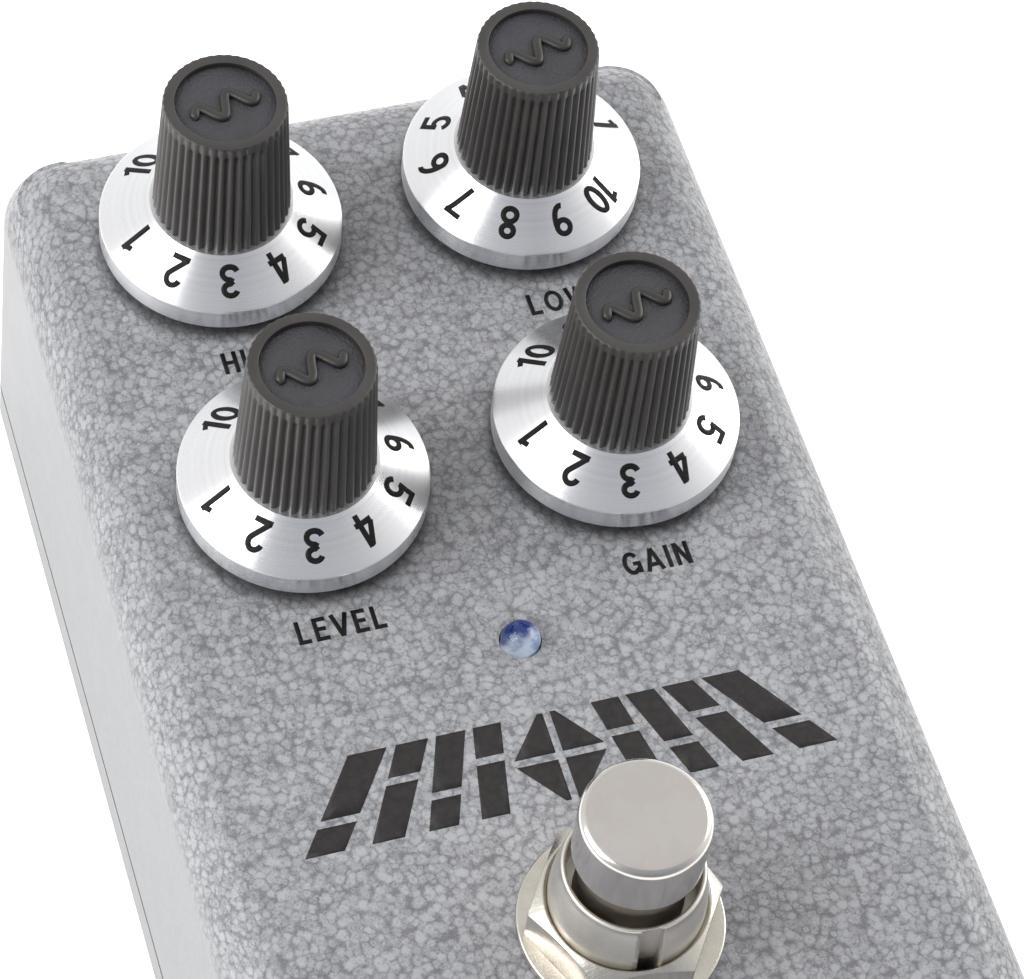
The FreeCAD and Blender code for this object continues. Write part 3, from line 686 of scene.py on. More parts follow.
# ================================================================ finishes
@dataclass(frozen=True)
class HammeredPaint:
    """Grey hammered enamel: pale domes with darker gaps, which run together on the upright walls.

    Args:
        dome: colour of the domes.
        gap: colour between them.
        wall: colour that both reach on the walls.
        wall_low: the walls' darker patches.
        lip: near-black colour on the cover's lip, above the seam: painted shade that makes the seam's gap
            read dark.
        soil: colour of the painted shadow on the top face under the dials.
        dials: how far the dials' axes stand from the middle, and their two places along the case.
        dial_reach: radius of a dial.
        top: height of the top face.
        reach: from the middle to where the walls start, across and along.
        cell: size of a cell.
        depth: height of a dome.
        dimple: how dark a dimple is.
        unlike: how much the cells differ in shade.
        flecks: how strongly the fine flecks show.
        rough: roughness of the walls.
        lip_low: where the lip starts.
        lip_high: where it ends.
        wall_top: below this height the cells have run together.
        face: from this height up they are distinct.
    """

    dome: Colour = (167, 168, 172)
    gap: Colour = (107, 108, 112)
    wall: Colour = (124, 125, 127)
    wall_low: Colour = (119, 120, 122)
    lip: Colour = (22, 22, 23)
    soil: Colour = (58, 58, 60)
    cell: float = 1.14 * MM
    depth: float = 0.045 * MM
    dimple: float = 0.30
    unlike: float = 0.22
    flecks: float = 1.3
    rough: float = 0.44
    dials: tuple[float, float, float] = (13.2 * MM, 41.1 * MM, 14.53 * MM)
    dial_reach: float = 10.16 * MM
    top: float = 34.9 * MM
    reach: tuple[float, float] = (28.0 * MM, 54.0 * MM)
    lip_low: float = 6.18 * MM
    lip_high: float = 6.66 * MM
    wall_top: float = 29.6 * MM
    face: float = 33.4 * MM

    def material(self) -> bpy.types.Material:
        """Builds the finish.

        Returns:
            The material.
        """
        shader = Shader("hammered_paint", Metallic=0.0, Specular_IOR_Level=0.5, Coat_Weight=0.25)
        where = shader.place()
        cells = shader.effect(EFFECTS.hammer, self._unfolded(shader, where), Cell_Size=self.cell)
        grain = shader.effect(EFFECTS.grain, where, Grain_Size=0.16 * MM, Contrast=1.0)
        mottle = shader.effect(EFFECTS.dust, where, Patch_Size=3.2 * MM)
        height = shader.add("ShaderNodeSeparateXYZ", {0: where}).outputs[2]
        distinct = shader.spread(height, self.wall_top, self.face, 0.08, 1.0)
        dimple = shader.math("MULTIPLY", cells.outputs["Dimple"], self.dimple)
        level = shader.math("SUBTRACT", cells.outputs["Dome"], dimple)
        uneven = shader.math("MULTIPLY_ADD", cells.outputs["Tone"], self.unlike, -self.unlike / 2)
        bright = shader.math("ADD", level, uneven)
        flecks = shader.math("MULTIPLY_ADD", grain.outputs[0], self.flecks, -self.flecks / 2)
        bright = shader.math("ADD", bright, flecks)
        patch = shader.math("MULTIPLY_ADD", mottle.outputs[0], 0.18, -0.03)
        bright = shader.math("ADD", bright, patch)
        shade = shader.spread(bright, 0.0, 1.0, smooth=False)
        painted = shader.mix(shade, linear(self.gap), linear(self.dome))
        smooth = shader.weighed(mottle.outputs[0], 0.5, grain.outputs[0], 0.5)
        wall = shader.mix(smooth, linear(self.wall_low), linear(self.wall))
        faded = shader.mix(distinct, wall, painted)
        # painted shade: the cover's lip above the seam is near-black, so the seam's gap reads dark
        above = shader.math("GREATER_THAN", height, self.lip_low)
        below = shader.math("LESS_THAN", height, self.lip_high)
        lip = shader.math("MULTIPLY", above, below)
        # painted shadow: darkens the top face under each dial and just round it
        faded = shader.mix(self._grime(shader, where), faded, linear(self.soil))
        shader.join("Base Color", shader.mix(lip, faded, linear(self.lip)))
        gloss = shader.spread(bright, 0.0, 1.0, 0.06, -0.10, smooth=False)
        shader.join("Roughness", shader.math("MULTIPLY_ADD", gloss, distinct, self.rough))
        raised = shader.math("MULTIPLY", level, distinct)
        shader.bump(raised, self.depth)
        return shader.material

    def _unfolded(self, shader: Shader, where: bpy.types.NodeSocket) -> bpy.types.NodeSocket:
        """Lays the walls out flat round the top face, so that the cells don't stretch down them.

        Each point moves outwards by its drop below the top face, across and along. The share of the
        drop grows from none in the middle of the case to all of it at the walls.

        Args:
            shader: the material's graph.
            where: Object coordinates.

        Returns:
            The laid-out coordinate.
        """
        parts = shader.add("ShaderNodeSeparateXYZ", {0: where})
        drop = shader.math("MAXIMUM", shader.math("SUBTRACT", self.top, parts.outputs[2]), 0.0)
        laid = []
        for axis, reach in enumerate(self.reach):
            share = shader.spread(parts.outputs[axis], -reach, reach, -1.0, 1.0)
            laid.append(shader.math("MULTIPLY_ADD", drop, share, parts.outputs[axis]))
        flat = {0: laid[0], 1: laid[1], 2: parts.outputs[2]}
        return shader.add("ShaderNodeCombineXYZ", flat).outputs[0]

    def _grime(self, shader: Shader, where: bpy.types.NodeSocket) -> bpy.types.NodeSocket:
        """Painted shadow under the dials: full inside each dial's radius, fading to none just outside it.

        Args:
            shader: the material's graph.
            where: Object coordinates.

        Returns:
            The share of painted shadow.
        """
        across, rear, front = self.dials
        parts = shader.add("ShaderNodeSeparateXYZ", {0: where})
        x = shader.math("SUBTRACT", shader.math("ABSOLUTE", parts.outputs[0]), across)
        ways = [shader.math("ABSOLUTE", shader.math("SUBTRACT", parts.outputs[1], row))
                for row in (rear, front)]
        y = shader.math("MINIMUM", ways[0], ways[1])
        square = shader.math("ADD", shader.math("MULTIPLY", x, x), shader.math("MULTIPLY", y, y))
        away = shader.math("SQRT", square)
        share = shader.spread(away, self.dial_reach - 0.6 * MM, self.dial_reach + 0.9 * MM, 0.75, 0.0)
        return shader.math("MULTIPLY", share, shader.math("GREATER_THAN", parts.outputs[2], self.face))


@dataclass(frozen=True)
class Moulded:
    """Moulded plastic or rubber with a fine stipple, paler patches of wear, and a painted highlight on its
    ridges.

    Args:
        name: the material's name.
        base: its colour.
        bloom: its colour where light wear shows, and the painted highlight on the ridges.
        rough: roughness, lowest and highest.
        stipple: size of the stipple.
        depth: height of the stipple.
        ridges: whether the piece carries the ridge attribute, which paints its ridges paler.
    """

    name: str
    base: Colour
    bloom: Colour
    rough: tuple[float, float] = (0.42, 0.58)
    stipple: float = 0.16 * MM
    depth: float = 0.012 * MM
    ridges: bool = False

    def material(self) -> bpy.types.Material:
        """Builds the finish.

        Returns:
            The material.
        """
        shader = Shader(self.name, Specular_IOR_Level=0.6)
        where = shader.place()
        grain = shader.effect(EFFECTS.grain, where, Grain_Size=self.stipple, Contrast=1.4)
        patch = shader.effect(EFFECTS.dust, where, Patch_Size=5 * MM)
        worn = shader.math("MULTIPLY", patch.outputs[0], grain.outputs[0])
        if self.ridges:
            # painted highlight: the ridge attribute makes the flutes' crests paler than their grooves
            ridge = shader.add("ShaderNodeAttribute", attribute_name="ridge").outputs["Fac"]
            worn = shader.weighed(worn, 0.35, ridge, 0.6)
        else:
            worn = shader.math("MULTIPLY", worn, 0.7)
        shader.join("Base Color", shader.mix(worn, linear(self.base), linear(self.bloom)))
        low, high = self.rough
        shader.join("Roughness", shader.spread(patch.outputs[0], 0.0, 1.0, low, high, smooth=False))
        shader.bump(grain.outputs[0], self.depth)
        return shader.material


@dataclass(frozen=True)
class TurnedMetal:
    """Bright metal with lathe lines that follow the piece's own UV map.

    Args:
        name: the material's name.
        bright: colour of the metal.
        dull: colour in the lines.
        line: width of a line.
        rough: roughness, lowest and highest.
        depth: depth of the lines.
        stretch: how far highlights stretch across the lines.
    """

    name: str
    bright: Colour
    dull: Colour
    line: float = 0.05 * MM
    rough: tuple[float, float] = (0.24, 0.34)
    depth: float = 0.002 * MM
    stretch: float = 0.85

    def material(self) -> bpy.types.Material:
        """Builds the finish.

        Returns:
            The material.
        """
        shader = Shader(self.name, Metallic=1.0, Anisotropic=self.stretch, Anisotropic_Rotation=0.25)
        lines = shader.effect(EFFECTS.turning, shader.uv(), Line_Width=self.line)
        where = shader.place()
        patch = shader.effect(EFFECTS.dust, where, Patch_Size=6 * MM)
        mixed = shader.weighed(lines.outputs["Band"], 0.4, lines.outputs["Line"], 0.6)
        shade = shader.spread(mixed, 0.30, 0.66, smooth=False)
        shader.join("Base Color", shader.mix(shade, linear(self.dull), linear(self.bright)))
        low, high = self.rough
        dulled = shader.weighed(patch.outputs[0], 0.5, lines.outputs["Line"], 0.5)
        shader.join("Roughness", shader.spread(dulled, 0.0, 1.0, low, high, smooth=False))
        tangent = shader.add("ShaderNodeTangent", direction_type="UV_MAP", uv_map="surface")
        shader.join("Tangent", tangent.outputs[0])
        shader.bump(lines.outputs["Line"], self.depth)
        return shader.material


@dataclass(frozen=True)
class PlatedMetal:
    """Plated or bare metal with soft patches, a fine grain and hairline scuffs.

    Args:
        name: the material's name.
        bright: colour of the metal.
        dull: colour where it is handled.
        rough: roughness, lowest and highest.
        grain: size of the grain.
        depth: height of the grain.
        scuff: how much the scuffs show, from 0 to 1.
    """

    name: str
    bright: Colour
    dull: Colour
    rough: tuple[float, float] = (0.10, 0.24)
    grain: float = 0.12 * MM
    depth: float = 0.003 * MM
    scuff: float = 0.5

    def material(self) -> bpy.types.Material:
        """Builds the finish.

        Returns:
            The material.
        """
        shader = Shader(self.name, Metallic=1.0)
        where = shader.place()
        patch = shader.effect(EFFECTS.dust, where, Patch_Size=4 * MM)
        grain = shader.effect(EFFECTS.grain, where, Grain_Size=self.grain)
        scuffs = shader.effect(EFFECTS.scuffs, where, Spacing=1.6 * MM)
        marks = shader.math("MULTIPLY", scuffs.outputs[0], self.scuff)
        worn = shader.weighed(patch.outputs[0], 0.5, grain.outputs[0], 0.4)
        shader.join("Base Color", shader.mix(worn, linear(self.bright), linear(self.dull)))
        low, high = self.rough
        rough = shader.spread(worn, 0.0, 0.9, low, high, smooth=False)
        shader.join("Roughness", shader.math("MULTIPLY_ADD", marks, 0.15, rough))
        lowered = shader.math("SUBTRACT", grain.outputs[0], marks)
        shader.bump(lowered, self.depth)
        return shader.material


@dataclass(frozen=True)
class PrintedInk:
    """Screen-printed ink: dark, slightly grainy, thinner in places.

    Args:
        name: the material's name.
        full: colour of thick ink.
        thin: colour where it is thin.
        rough: roughness, lowest and highest.
    """

    name: str
    full: Colour
    thin: Colour
    rough: tuple[float, float] = (0.45, 0.62)

    def material(self) -> bpy.types.Material:
        """Builds the finish.

        Returns:
            The material.
        """
        shader = Shader(self.name, Specular_IOR_Level=0.25)
        where = shader.place()
        grain = shader.effect(EFFECTS.grain, where, Grain_Size=0.14 * MM, Contrast=1.8)
        cells = shader.effect(EFFECTS.hammer, where, Cell_Size=HammeredPaint.cell)
        thin = shader.weighed(cells.outputs["Dome"], 0.35, grain.outputs[0], 0.4)
        shader.join("Base Color", shader.mix(thin, linear(self.full), linear(self.thin)))
        low, high = self.rough
        shader.join("Roughness", shader.spread(grain.outputs[0], 0.2, 0.8, low, high, smooth=False))
        shader.bump(cells.outputs["Dome"], HammeredPaint.depth, 0.35)
        return shader.material


@dataclass(frozen=True)
class WovenBoard:
    """Glass-fibre board: a lacquer over crossing fibres, with a faint pattern of copper under it.

    Args:
        name: the material's name.
        lacquer: main colour.
        copper: colour over the copper.
        pitch: spacing of the fibres.
        track: size of the copper pattern.
    """

    name: str = "board_laminate"
    lacquer: Colour = (24, 92, 52)
    copper: Colour = (44, 124, 74)
    pitch: float = 0.5 * MM
    track: float = 1 / 120

    def material(self) -> bpy.types.Material:
        """Builds the finish.

        Returns:
            The material.
        """
        shader = Shader(self.name, Coat_Weight=0.4)
        where = shader.place()
        weave = []
        wave_period = 0.314
        for axis in ("X", "Y"):
            wave = shader.add("ShaderNodeTexWave", {"Vector": where, "Scale": wave_period / self.pitch},
                              wave_type="BANDS", bands_direction=axis)
            weave.append(wave.outputs["Fac"])
        crossed = shader.math("MULTIPLY", weave[0], weave[1])
        tracks = shader.add("ShaderNodeTexBrick", {"Vector": where, "Scale": 1 / self.track,
                                                   "Mortar Size": 0.08, "Color1": WHITE,
                                                   "Color2": WHITE, "Mortar": BLACK})
        share = shader.weighed(crossed, 0.3, tracks.outputs[1], 0.7)
        shader.join("Base Color", shader.mix(share, linear(self.lacquer), linear(self.copper)))
        shader.join("Roughness", shader.spread(crossed, 0.0, 1.0, 0.28, 0.42, smooth=False))
        shader.bump(crossed, 0.02 * MM)
        return shader.material


@dataclass(frozen=True)
class ClearResin:
    """Water-clear resin with a cool tint and a few fine bubbles.

    Args:
        name: the material's name.
        tint: colour of what passes through.
    """

    name: str = "clear_lens"
    tint: Colour = (236, 243, 255)

    def material(self) -> bpy.types.Material:
        """Builds the finish.

        Returns:
            The material.
        """
        shader = Shader(self.name, Transmission_Weight=1.0, IOR=1.5, Roughness=0.03)
        where = shader.place()
        patch = shader.effect(EFFECTS.dust, where, Patch_Size=0.8 * MM)
        shader.join("Base Color", shader.mix(patch.outputs[0], WHITE, linear(self.tint)))
        grain = shader.effect(EFFECTS.grain, where, Grain_Size=0.5 * MM)
        shader.bump(grain.outputs[0], 0.006 * MM)
        return shader.material


@dataclass(frozen=True)
class LightInside:
    """What shows through the light's dome: a pale cup, a rear in painted deep blue shade and a steel-blue
    side.

    Args:
        centre: middle of the light's face.
        pale: colour of the cup.
        deep: colour of the painted shade on the rear, a deep blue.
        steel: colour of the side.
        waver: how far the borders between the colours wander.
    """

    centre: tuple[float, float, float]
    pale: Colour = (204, 214, 228)
    deep: Colour = (4, 58, 150)
    steel: Colour = (58, 98, 146)
    waver: float = 0.9 * MM

    def material(self) -> bpy.types.Material:
        """Builds the finish.

        Returns:
            The material.
        """
        shader = Shader("light_inside", Roughness=0.3)
        where = shader.place(self.centre)
        parts = shader.add("ShaderNodeSeparateXYZ", {0: where})
        grain = shader.effect(EFFECTS.grain, where, Grain_Size=0.35 * MM, Contrast=1.6)
        waver = shader.math("MULTIPLY_ADD", grain.outputs[0], self.waver, -self.waver / 2)
        across = shader.math("ADD", parts.outputs[0], waver)
        up = shader.math("ADD", parts.outputs[1], waver)
        side = shader.spread(shader.math("MULTIPLY_ADD", up, -0.4, across), 0.25 * MM, 0.95 * MM)
        # painted shade: the rear of the cup turns deep blue
        shadow = shader.spread(shader.math("MULTIPLY_ADD", across, -0.1, up), 0.15 * MM, 0.8 * MM)
        colour = shader.mix(side, linear(self.pale), linear(self.steel))
        colour = shader.mix(shadow, colour, linear(self.deep))
        shader.join("Base Color", colour)
        shader.join("Roughness", shader.spread(grain.outputs[0], 0.2, 0.8, 0.2, 0.4, smooth=False))
        return shader.material


class Finishes:
    """Every finish of the pedal, built once."""

    def __init__(self) -> None:
        """Builds the materials that don't depend on a piece's place."""
        self.paint = HammeredPaint().material()
        self.grip = Moulded("knob_plastic", (38, 36, 34), (74, 70, 67), (0.34, 0.46), 0.11 * MM,
                            0.006 * MM, ridges=True).material()
        self.recess = Moulded("knob_recess", (46, 46, 51), (74, 74, 82), (0.45, 0.6), 0.26 * MM,
                              0.09 * MM).material()
        self.rubber = Moulded("foot_rubber", (30, 30, 31), (56, 56, 57), (0.7, 0.85), 0.25 * MM,
                              0.02 * MM).material()
        self.black_plastic = Moulded("black_plastic", (26, 26, 28), (52, 52, 55)).material()
        self.blue_plastic = Moulded("blue_plastic", (34, 74, 152), (70, 110, 186)).material()
        self.film = Moulded("film_case", (168, 52, 38), (196, 86, 68)).material()
        self.can = Moulded("can_sleeve", (28, 30, 44), (64, 68, 92), (0.25, 0.4)).material()
        self.cable = Moulded("cable_sleeve", (168, 168, 172), (206, 206, 208), (0.4, 0.55)).material()
        self.glaze = Moulded("resistor_glaze", (188, 164, 116), (214, 196, 158), (0.3, 0.45)).material()
        self.aluminium = TurnedMetal("spun_aluminium", (248, 249, 250), (232, 234, 240)).material()
        self.nickel = PlatedMetal("nickel", (226, 222, 214), (196, 191, 182), (0.13, 0.26)).material()
        self.chrome = PlatedMetal("chrome", (217, 213, 209), (206, 202, 198), (0.15, 0.21), 0.3 * MM,
                                  0.0012 * MM, 0.2).material()
        self.satin = PlatedMetal("satin_nickel", (240, 237, 231), (200, 195, 186),
                                 (0.28, 0.44)).material()
        self.dark_steel = PlatedMetal("dark_steel", (168, 160, 149), (128, 121, 112),
                                      (0.42, 0.58)).material()
        self.zinc = PlatedMetal("zinc_steel", (186, 190, 196), (150, 154, 160), (0.25, 0.42)).material()
        self.spring = PlatedMetal("spring_steel", (150, 150, 152), (110, 110, 112), (0.2, 0.35)).material()
        self.copper = PlatedMetal("tinned_copper", (200, 200, 200), (160, 158, 154), (0.25, 0.4)).material()
        self.pot = PlatedMetal("pot_case", (168, 166, 160), (132, 130, 124), (0.3, 0.45)).material()
        self.ink = PrintedInk("black_ink", (8, 8, 9), (18, 18, 18)).material()
        self.title_ink = PrintedInk("title_ink", (36, 34, 34), (58, 56, 55)).material()
        self.board = WovenBoard().material()
        self.resin = ClearResin().material()


# ================================================================ printed figures
def bow(centre_x: float, centre_y: float, reach_x: float, reach_y: float, start: float, end: float,
        steps: int = 14) -> np.ndarray:
    """Points on part of an ellipse: centre plus reach times the cosine and sine of the angle.

    Args:
        centre_x: ellipse centre, across.
        centre_y: ellipse centre, up.
        reach_x: half width.
        reach_y: half height.
        start: first angle in degrees.
        end: last angle in degrees.
        steps: how many pieces.

    Returns:
        The points, one row each.
    """
    angle = np.radians(np.linspace(start, end, steps + 1))
    return np.stack([centre_x + reach_x * np.cos(angle), centre_y + reach_y * np.sin(angle)], axis=-1)


def oval(centre_x: float, centre_y: float, reach_x: float, reach_y: float,
         steps: int = 14) -> list[np.ndarray]:
    """A closed ellipse as two half strokes, which overlap a little.

    Args:
        centre_x: ellipse centre, across.
        centre_y: ellipse centre, up.
        reach_x: half width.
        reach_y: half height.
        steps: how many pieces each half has.

    Returns:
        The left and the right stroke.
    """
    return [bow(centre_x, centre_y, reach_x, reach_y, start, start + 184, steps) for start in (88, -92)]


def line(*points: tuple[float, float]) -> np.ndarray:
    """Straight strokes through points, given as an array."""
    return np.array(points, float)


def chain(*parts: np.ndarray) -> np.ndarray:
    """Joins strokes end to end into one."""
    return np.vstack(parts)


@dataclass(frozen=True)
class StrokeFont:
    """A plain bold alphabet of strokes. Heights run from 0 to 1, and strokes have one weight.

    Args:
        weight: stroke width as a share of the height.
        digit_width: width of a figure.
        gap: space between characters.
    """

    weight: float = 0.165
    digit_width: float = 0.56
    gap: float = 0.10

    def strokes(self, character: str) -> tuple[list[np.ndarray], float]:
        """Gives a character's centre lines.

        Args:
            character: a figure or one of the capitals in use.

        Returns:
            The strokes, and the character's width.
        """
        h = self.weight / 2
        w = self.digit_width
        mid, top, right = w / 2, 1 - h, w - h
        bowl = 0.31 - h / 2
        tall, stem = line((h, 0.0), (h, 1.0)), line((0.60 - h, 0.0), (0.60 - h, 1.0))
        shapes = {
            "0": (oval(mid, 0.5, mid - h, 0.5 - h), w),
            "1": ([line((0.30, 0.0), (0.30, 1.0)), line((0.30, top - 0.02), (0.07, 0.80))], 0.38),
            "2": ([chain(bow(mid, 0.70, mid - h, 0.30 - h, 172, -28), line((h, h))),
                   line((0.02, h), (w, h))], w),
            "3": ([chain(bow(mid - 0.02, 0.745, mid - h, 0.255 - h, 165, -90, 16), line((0.17, 0.50))),
                   chain(line((0.17, 0.515)),
                         bow(mid - 0.02, 0.27, mid - h + 0.02, 0.27 - h, 90, -165, 18))], w),
            "4": ([line((0.40, 1.0), (0.40, 0.0)), line((0.36, 0.95), (0.05, 0.33)),
                   line((0.01, 0.29), (w, 0.29))], w),
            "5": ([line((w - 0.02, top), (0.12, top)), line((0.15, 1.0), (0.09, 0.45)),
                   chain(line((0.09, 0.50)),
                         bow(mid - 0.02, 0.33, mid - h + 0.02, 0.33 - h, 118, -160, 20))], w),
            "6": ([*oval(mid, bowl + 0.02, mid - h, bowl + 0.02 - h),
                   chain(line((h, 0.34)), bow(mid + 0.06, 0.42, mid - h + 0.06, 0.58 - h, 178, 78))], w),
            "7": ([line((0.0, top), (w, top)), line((right - 0.01, top), (0.36, 0.60), (0.20, 0.0))], w),
            "8": ([*oval(mid, 0.745, mid - h - 0.02, 0.255 - h), *oval(mid, 0.275, mid - h, 0.275 - h)], w),
            "E": ([tall, line((h, top), (0.50, top)), line((h, 0.51), (0.46, 0.51)),
                   line((h, h), (0.52, h))], 0.53),
            "G": ([bow(0.34, 0.5, 0.34 - h, 0.5 - h, 38, 200, 18),
                   bow(0.34, 0.5, 0.34 - h, 0.5 - h, 195, 325),
                   line((0.38, 0.47), (0.68, 0.47)), line((0.61, 0.47), (0.61, 0.05))], 0.68),
            "A": ([line((0.05, 0.0), (0.34, 0.98)), line((0.63, 0.0), (0.34, 0.98)),
                   line((0.15, 0.28), (0.53, 0.28))], 0.68),
            "I": ([tall], self.weight),
            "N": ([tall, stem, line((h + 0.01, 0.97), (0.59 - h, 0.03))], 0.60),
            "O": (oval(0.37, 0.5, 0.37 - h, 0.5 - h, 18), 0.74),
            "W": ([line((0.05, 1.0), (0.25, 0.02)), line((0.25, 0.02), (0.46, 0.98)),
                   line((0.46, 0.98), (0.67, 0.02)), line((0.67, 0.02), (0.87, 1.0))], 0.92),
            "H": ([tall, stem, line((h, 0.51), (0.60 - h, 0.51))], 0.60),
            "L": ([tall, line((h, h), (0.48, h))], 0.49),
            "V": ([line((0.05, 1.0), (0.32, 0.02)), line((0.59, 1.0), (0.32, 0.02))], 0.64),
        }
        if character == "9":
            six, width = self.strokes("6")
            return [np.array([w, 1.0]) - stroke for stroke in six], width
        return shapes[character]

    def ribbons(self, words: str) -> tuple[list[np.ndarray], float]:
        """Gives the outline of every stroke in a line of characters.

        Each side is the centre line moved half the weight along its normal. The normal at a bend is
        the mean of its neighbours', lengthened so that the ribbon keeps its width.

        Args:
            words: the characters.

        Returns:
            Closed outlines, and the whole width.
        """
        outlines, pen = [], 0.0
        for character in words:
            strokes, width = self.strokes(character)
            for stroke in strokes:
                moves = np.linalg.norm(np.diff(stroke, axis=0), axis=1) > 1e-4
                path = stroke[np.concatenate([[True], moves])]
                step = np.diff(path, axis=0)
                normal = np.stack([-step[:, 1], step[:, 0]], axis=-1)
                normal /= np.linalg.norm(normal, axis=1)[:, None]
                joint = np.vstack([normal[:1], normal[:-1] + normal[1:], normal[-1:]])
                joint /= np.linalg.norm(joint, axis=1)[:, None]
                bend = np.concatenate([normal[:1], normal])
                stretch = 1 / np.clip(np.sum(joint * bend, axis=1), 0.7, 1)
                side = joint * (stretch * self.weight / 2)[:, None]
                outlines.append(np.vstack([path - side, (path + side)[::-1]]) + np.array([pen, 0]))
            pen += width + self.gap
        return outlines, pen - self.gap


def filled(outlines: list[np.ndarray], spacing: float) -> tuple[np.ndarray, np.ndarray]:
    """Fills overlapping outlines with one flat net of small triangles.

    The net is a constrained Delaunay triangulation of all the outlines and of a grid of points
    inside their box. Triangles outside every outline are left out.

    Args:
        outlines: closed outlines.
        spacing: distance between grid points.

    Returns:
        The net's points and its triangles.
    """
    corners = [np.vstack(outlines)]
    low, high = corners[0].min(axis=0), corners[0].max(axis=0)
    across, up = np.meshgrid(np.arange(low[0], high[0], spacing) + spacing * 0.31,
                             np.arange(low[1], high[1], spacing) + spacing * 0.37)
    corners.append(np.stack([across.ravel(), up.ravel()], axis=-1))
    faces, start = [], 0
    for outline in outlines:
        faces.append(list(range(start, start + len(outline))))
        start += len(outline)
    given = [Vector(point) for point in np.vstack(corners)]
    points, _, triangles, _, _, sources = delaunay_2d_cdt(given, [], faces, 1, 1e-6)
    covered = [triangle for triangle, source in zip(triangles, sources) if source]
    return np.array([tuple(point) for point in points]), np.array(covered, int)


LIFT = 0.004 * MM  # from a surface up to the print on it


def printed(name: str, outlines: list[np.ndarray], spacing: float,
            carry: Callable[[np.ndarray], np.ndarray], thickness: float) -> bpy.types.Object:
    """Fills flat outlines, carries them onto a surface and thickens them outwards.

    Args:
        name: the piece's name.
        outlines: closed outlines in a flat frame, in metres.
        spacing: distance between points inside them.
        carry: function from flat points to points on the surface.
        thickness: how far the print stands proud.

    Returns:
        The object.
    """
    flat, triangles = filled(outlines, spacing)
    used, triangles = np.unique(triangles, return_inverse=True)
    triangles = triangles.reshape(-1, 3)
    points = carry(flat[used])
    piece = mesh_object(name, bare(points, NO_QUADS, triangles), 60)
    layer = piece.modifiers.new("ink", "SOLIDIFY")
    layer.thickness = thickness
    layer.offset = 1.0
    return piece


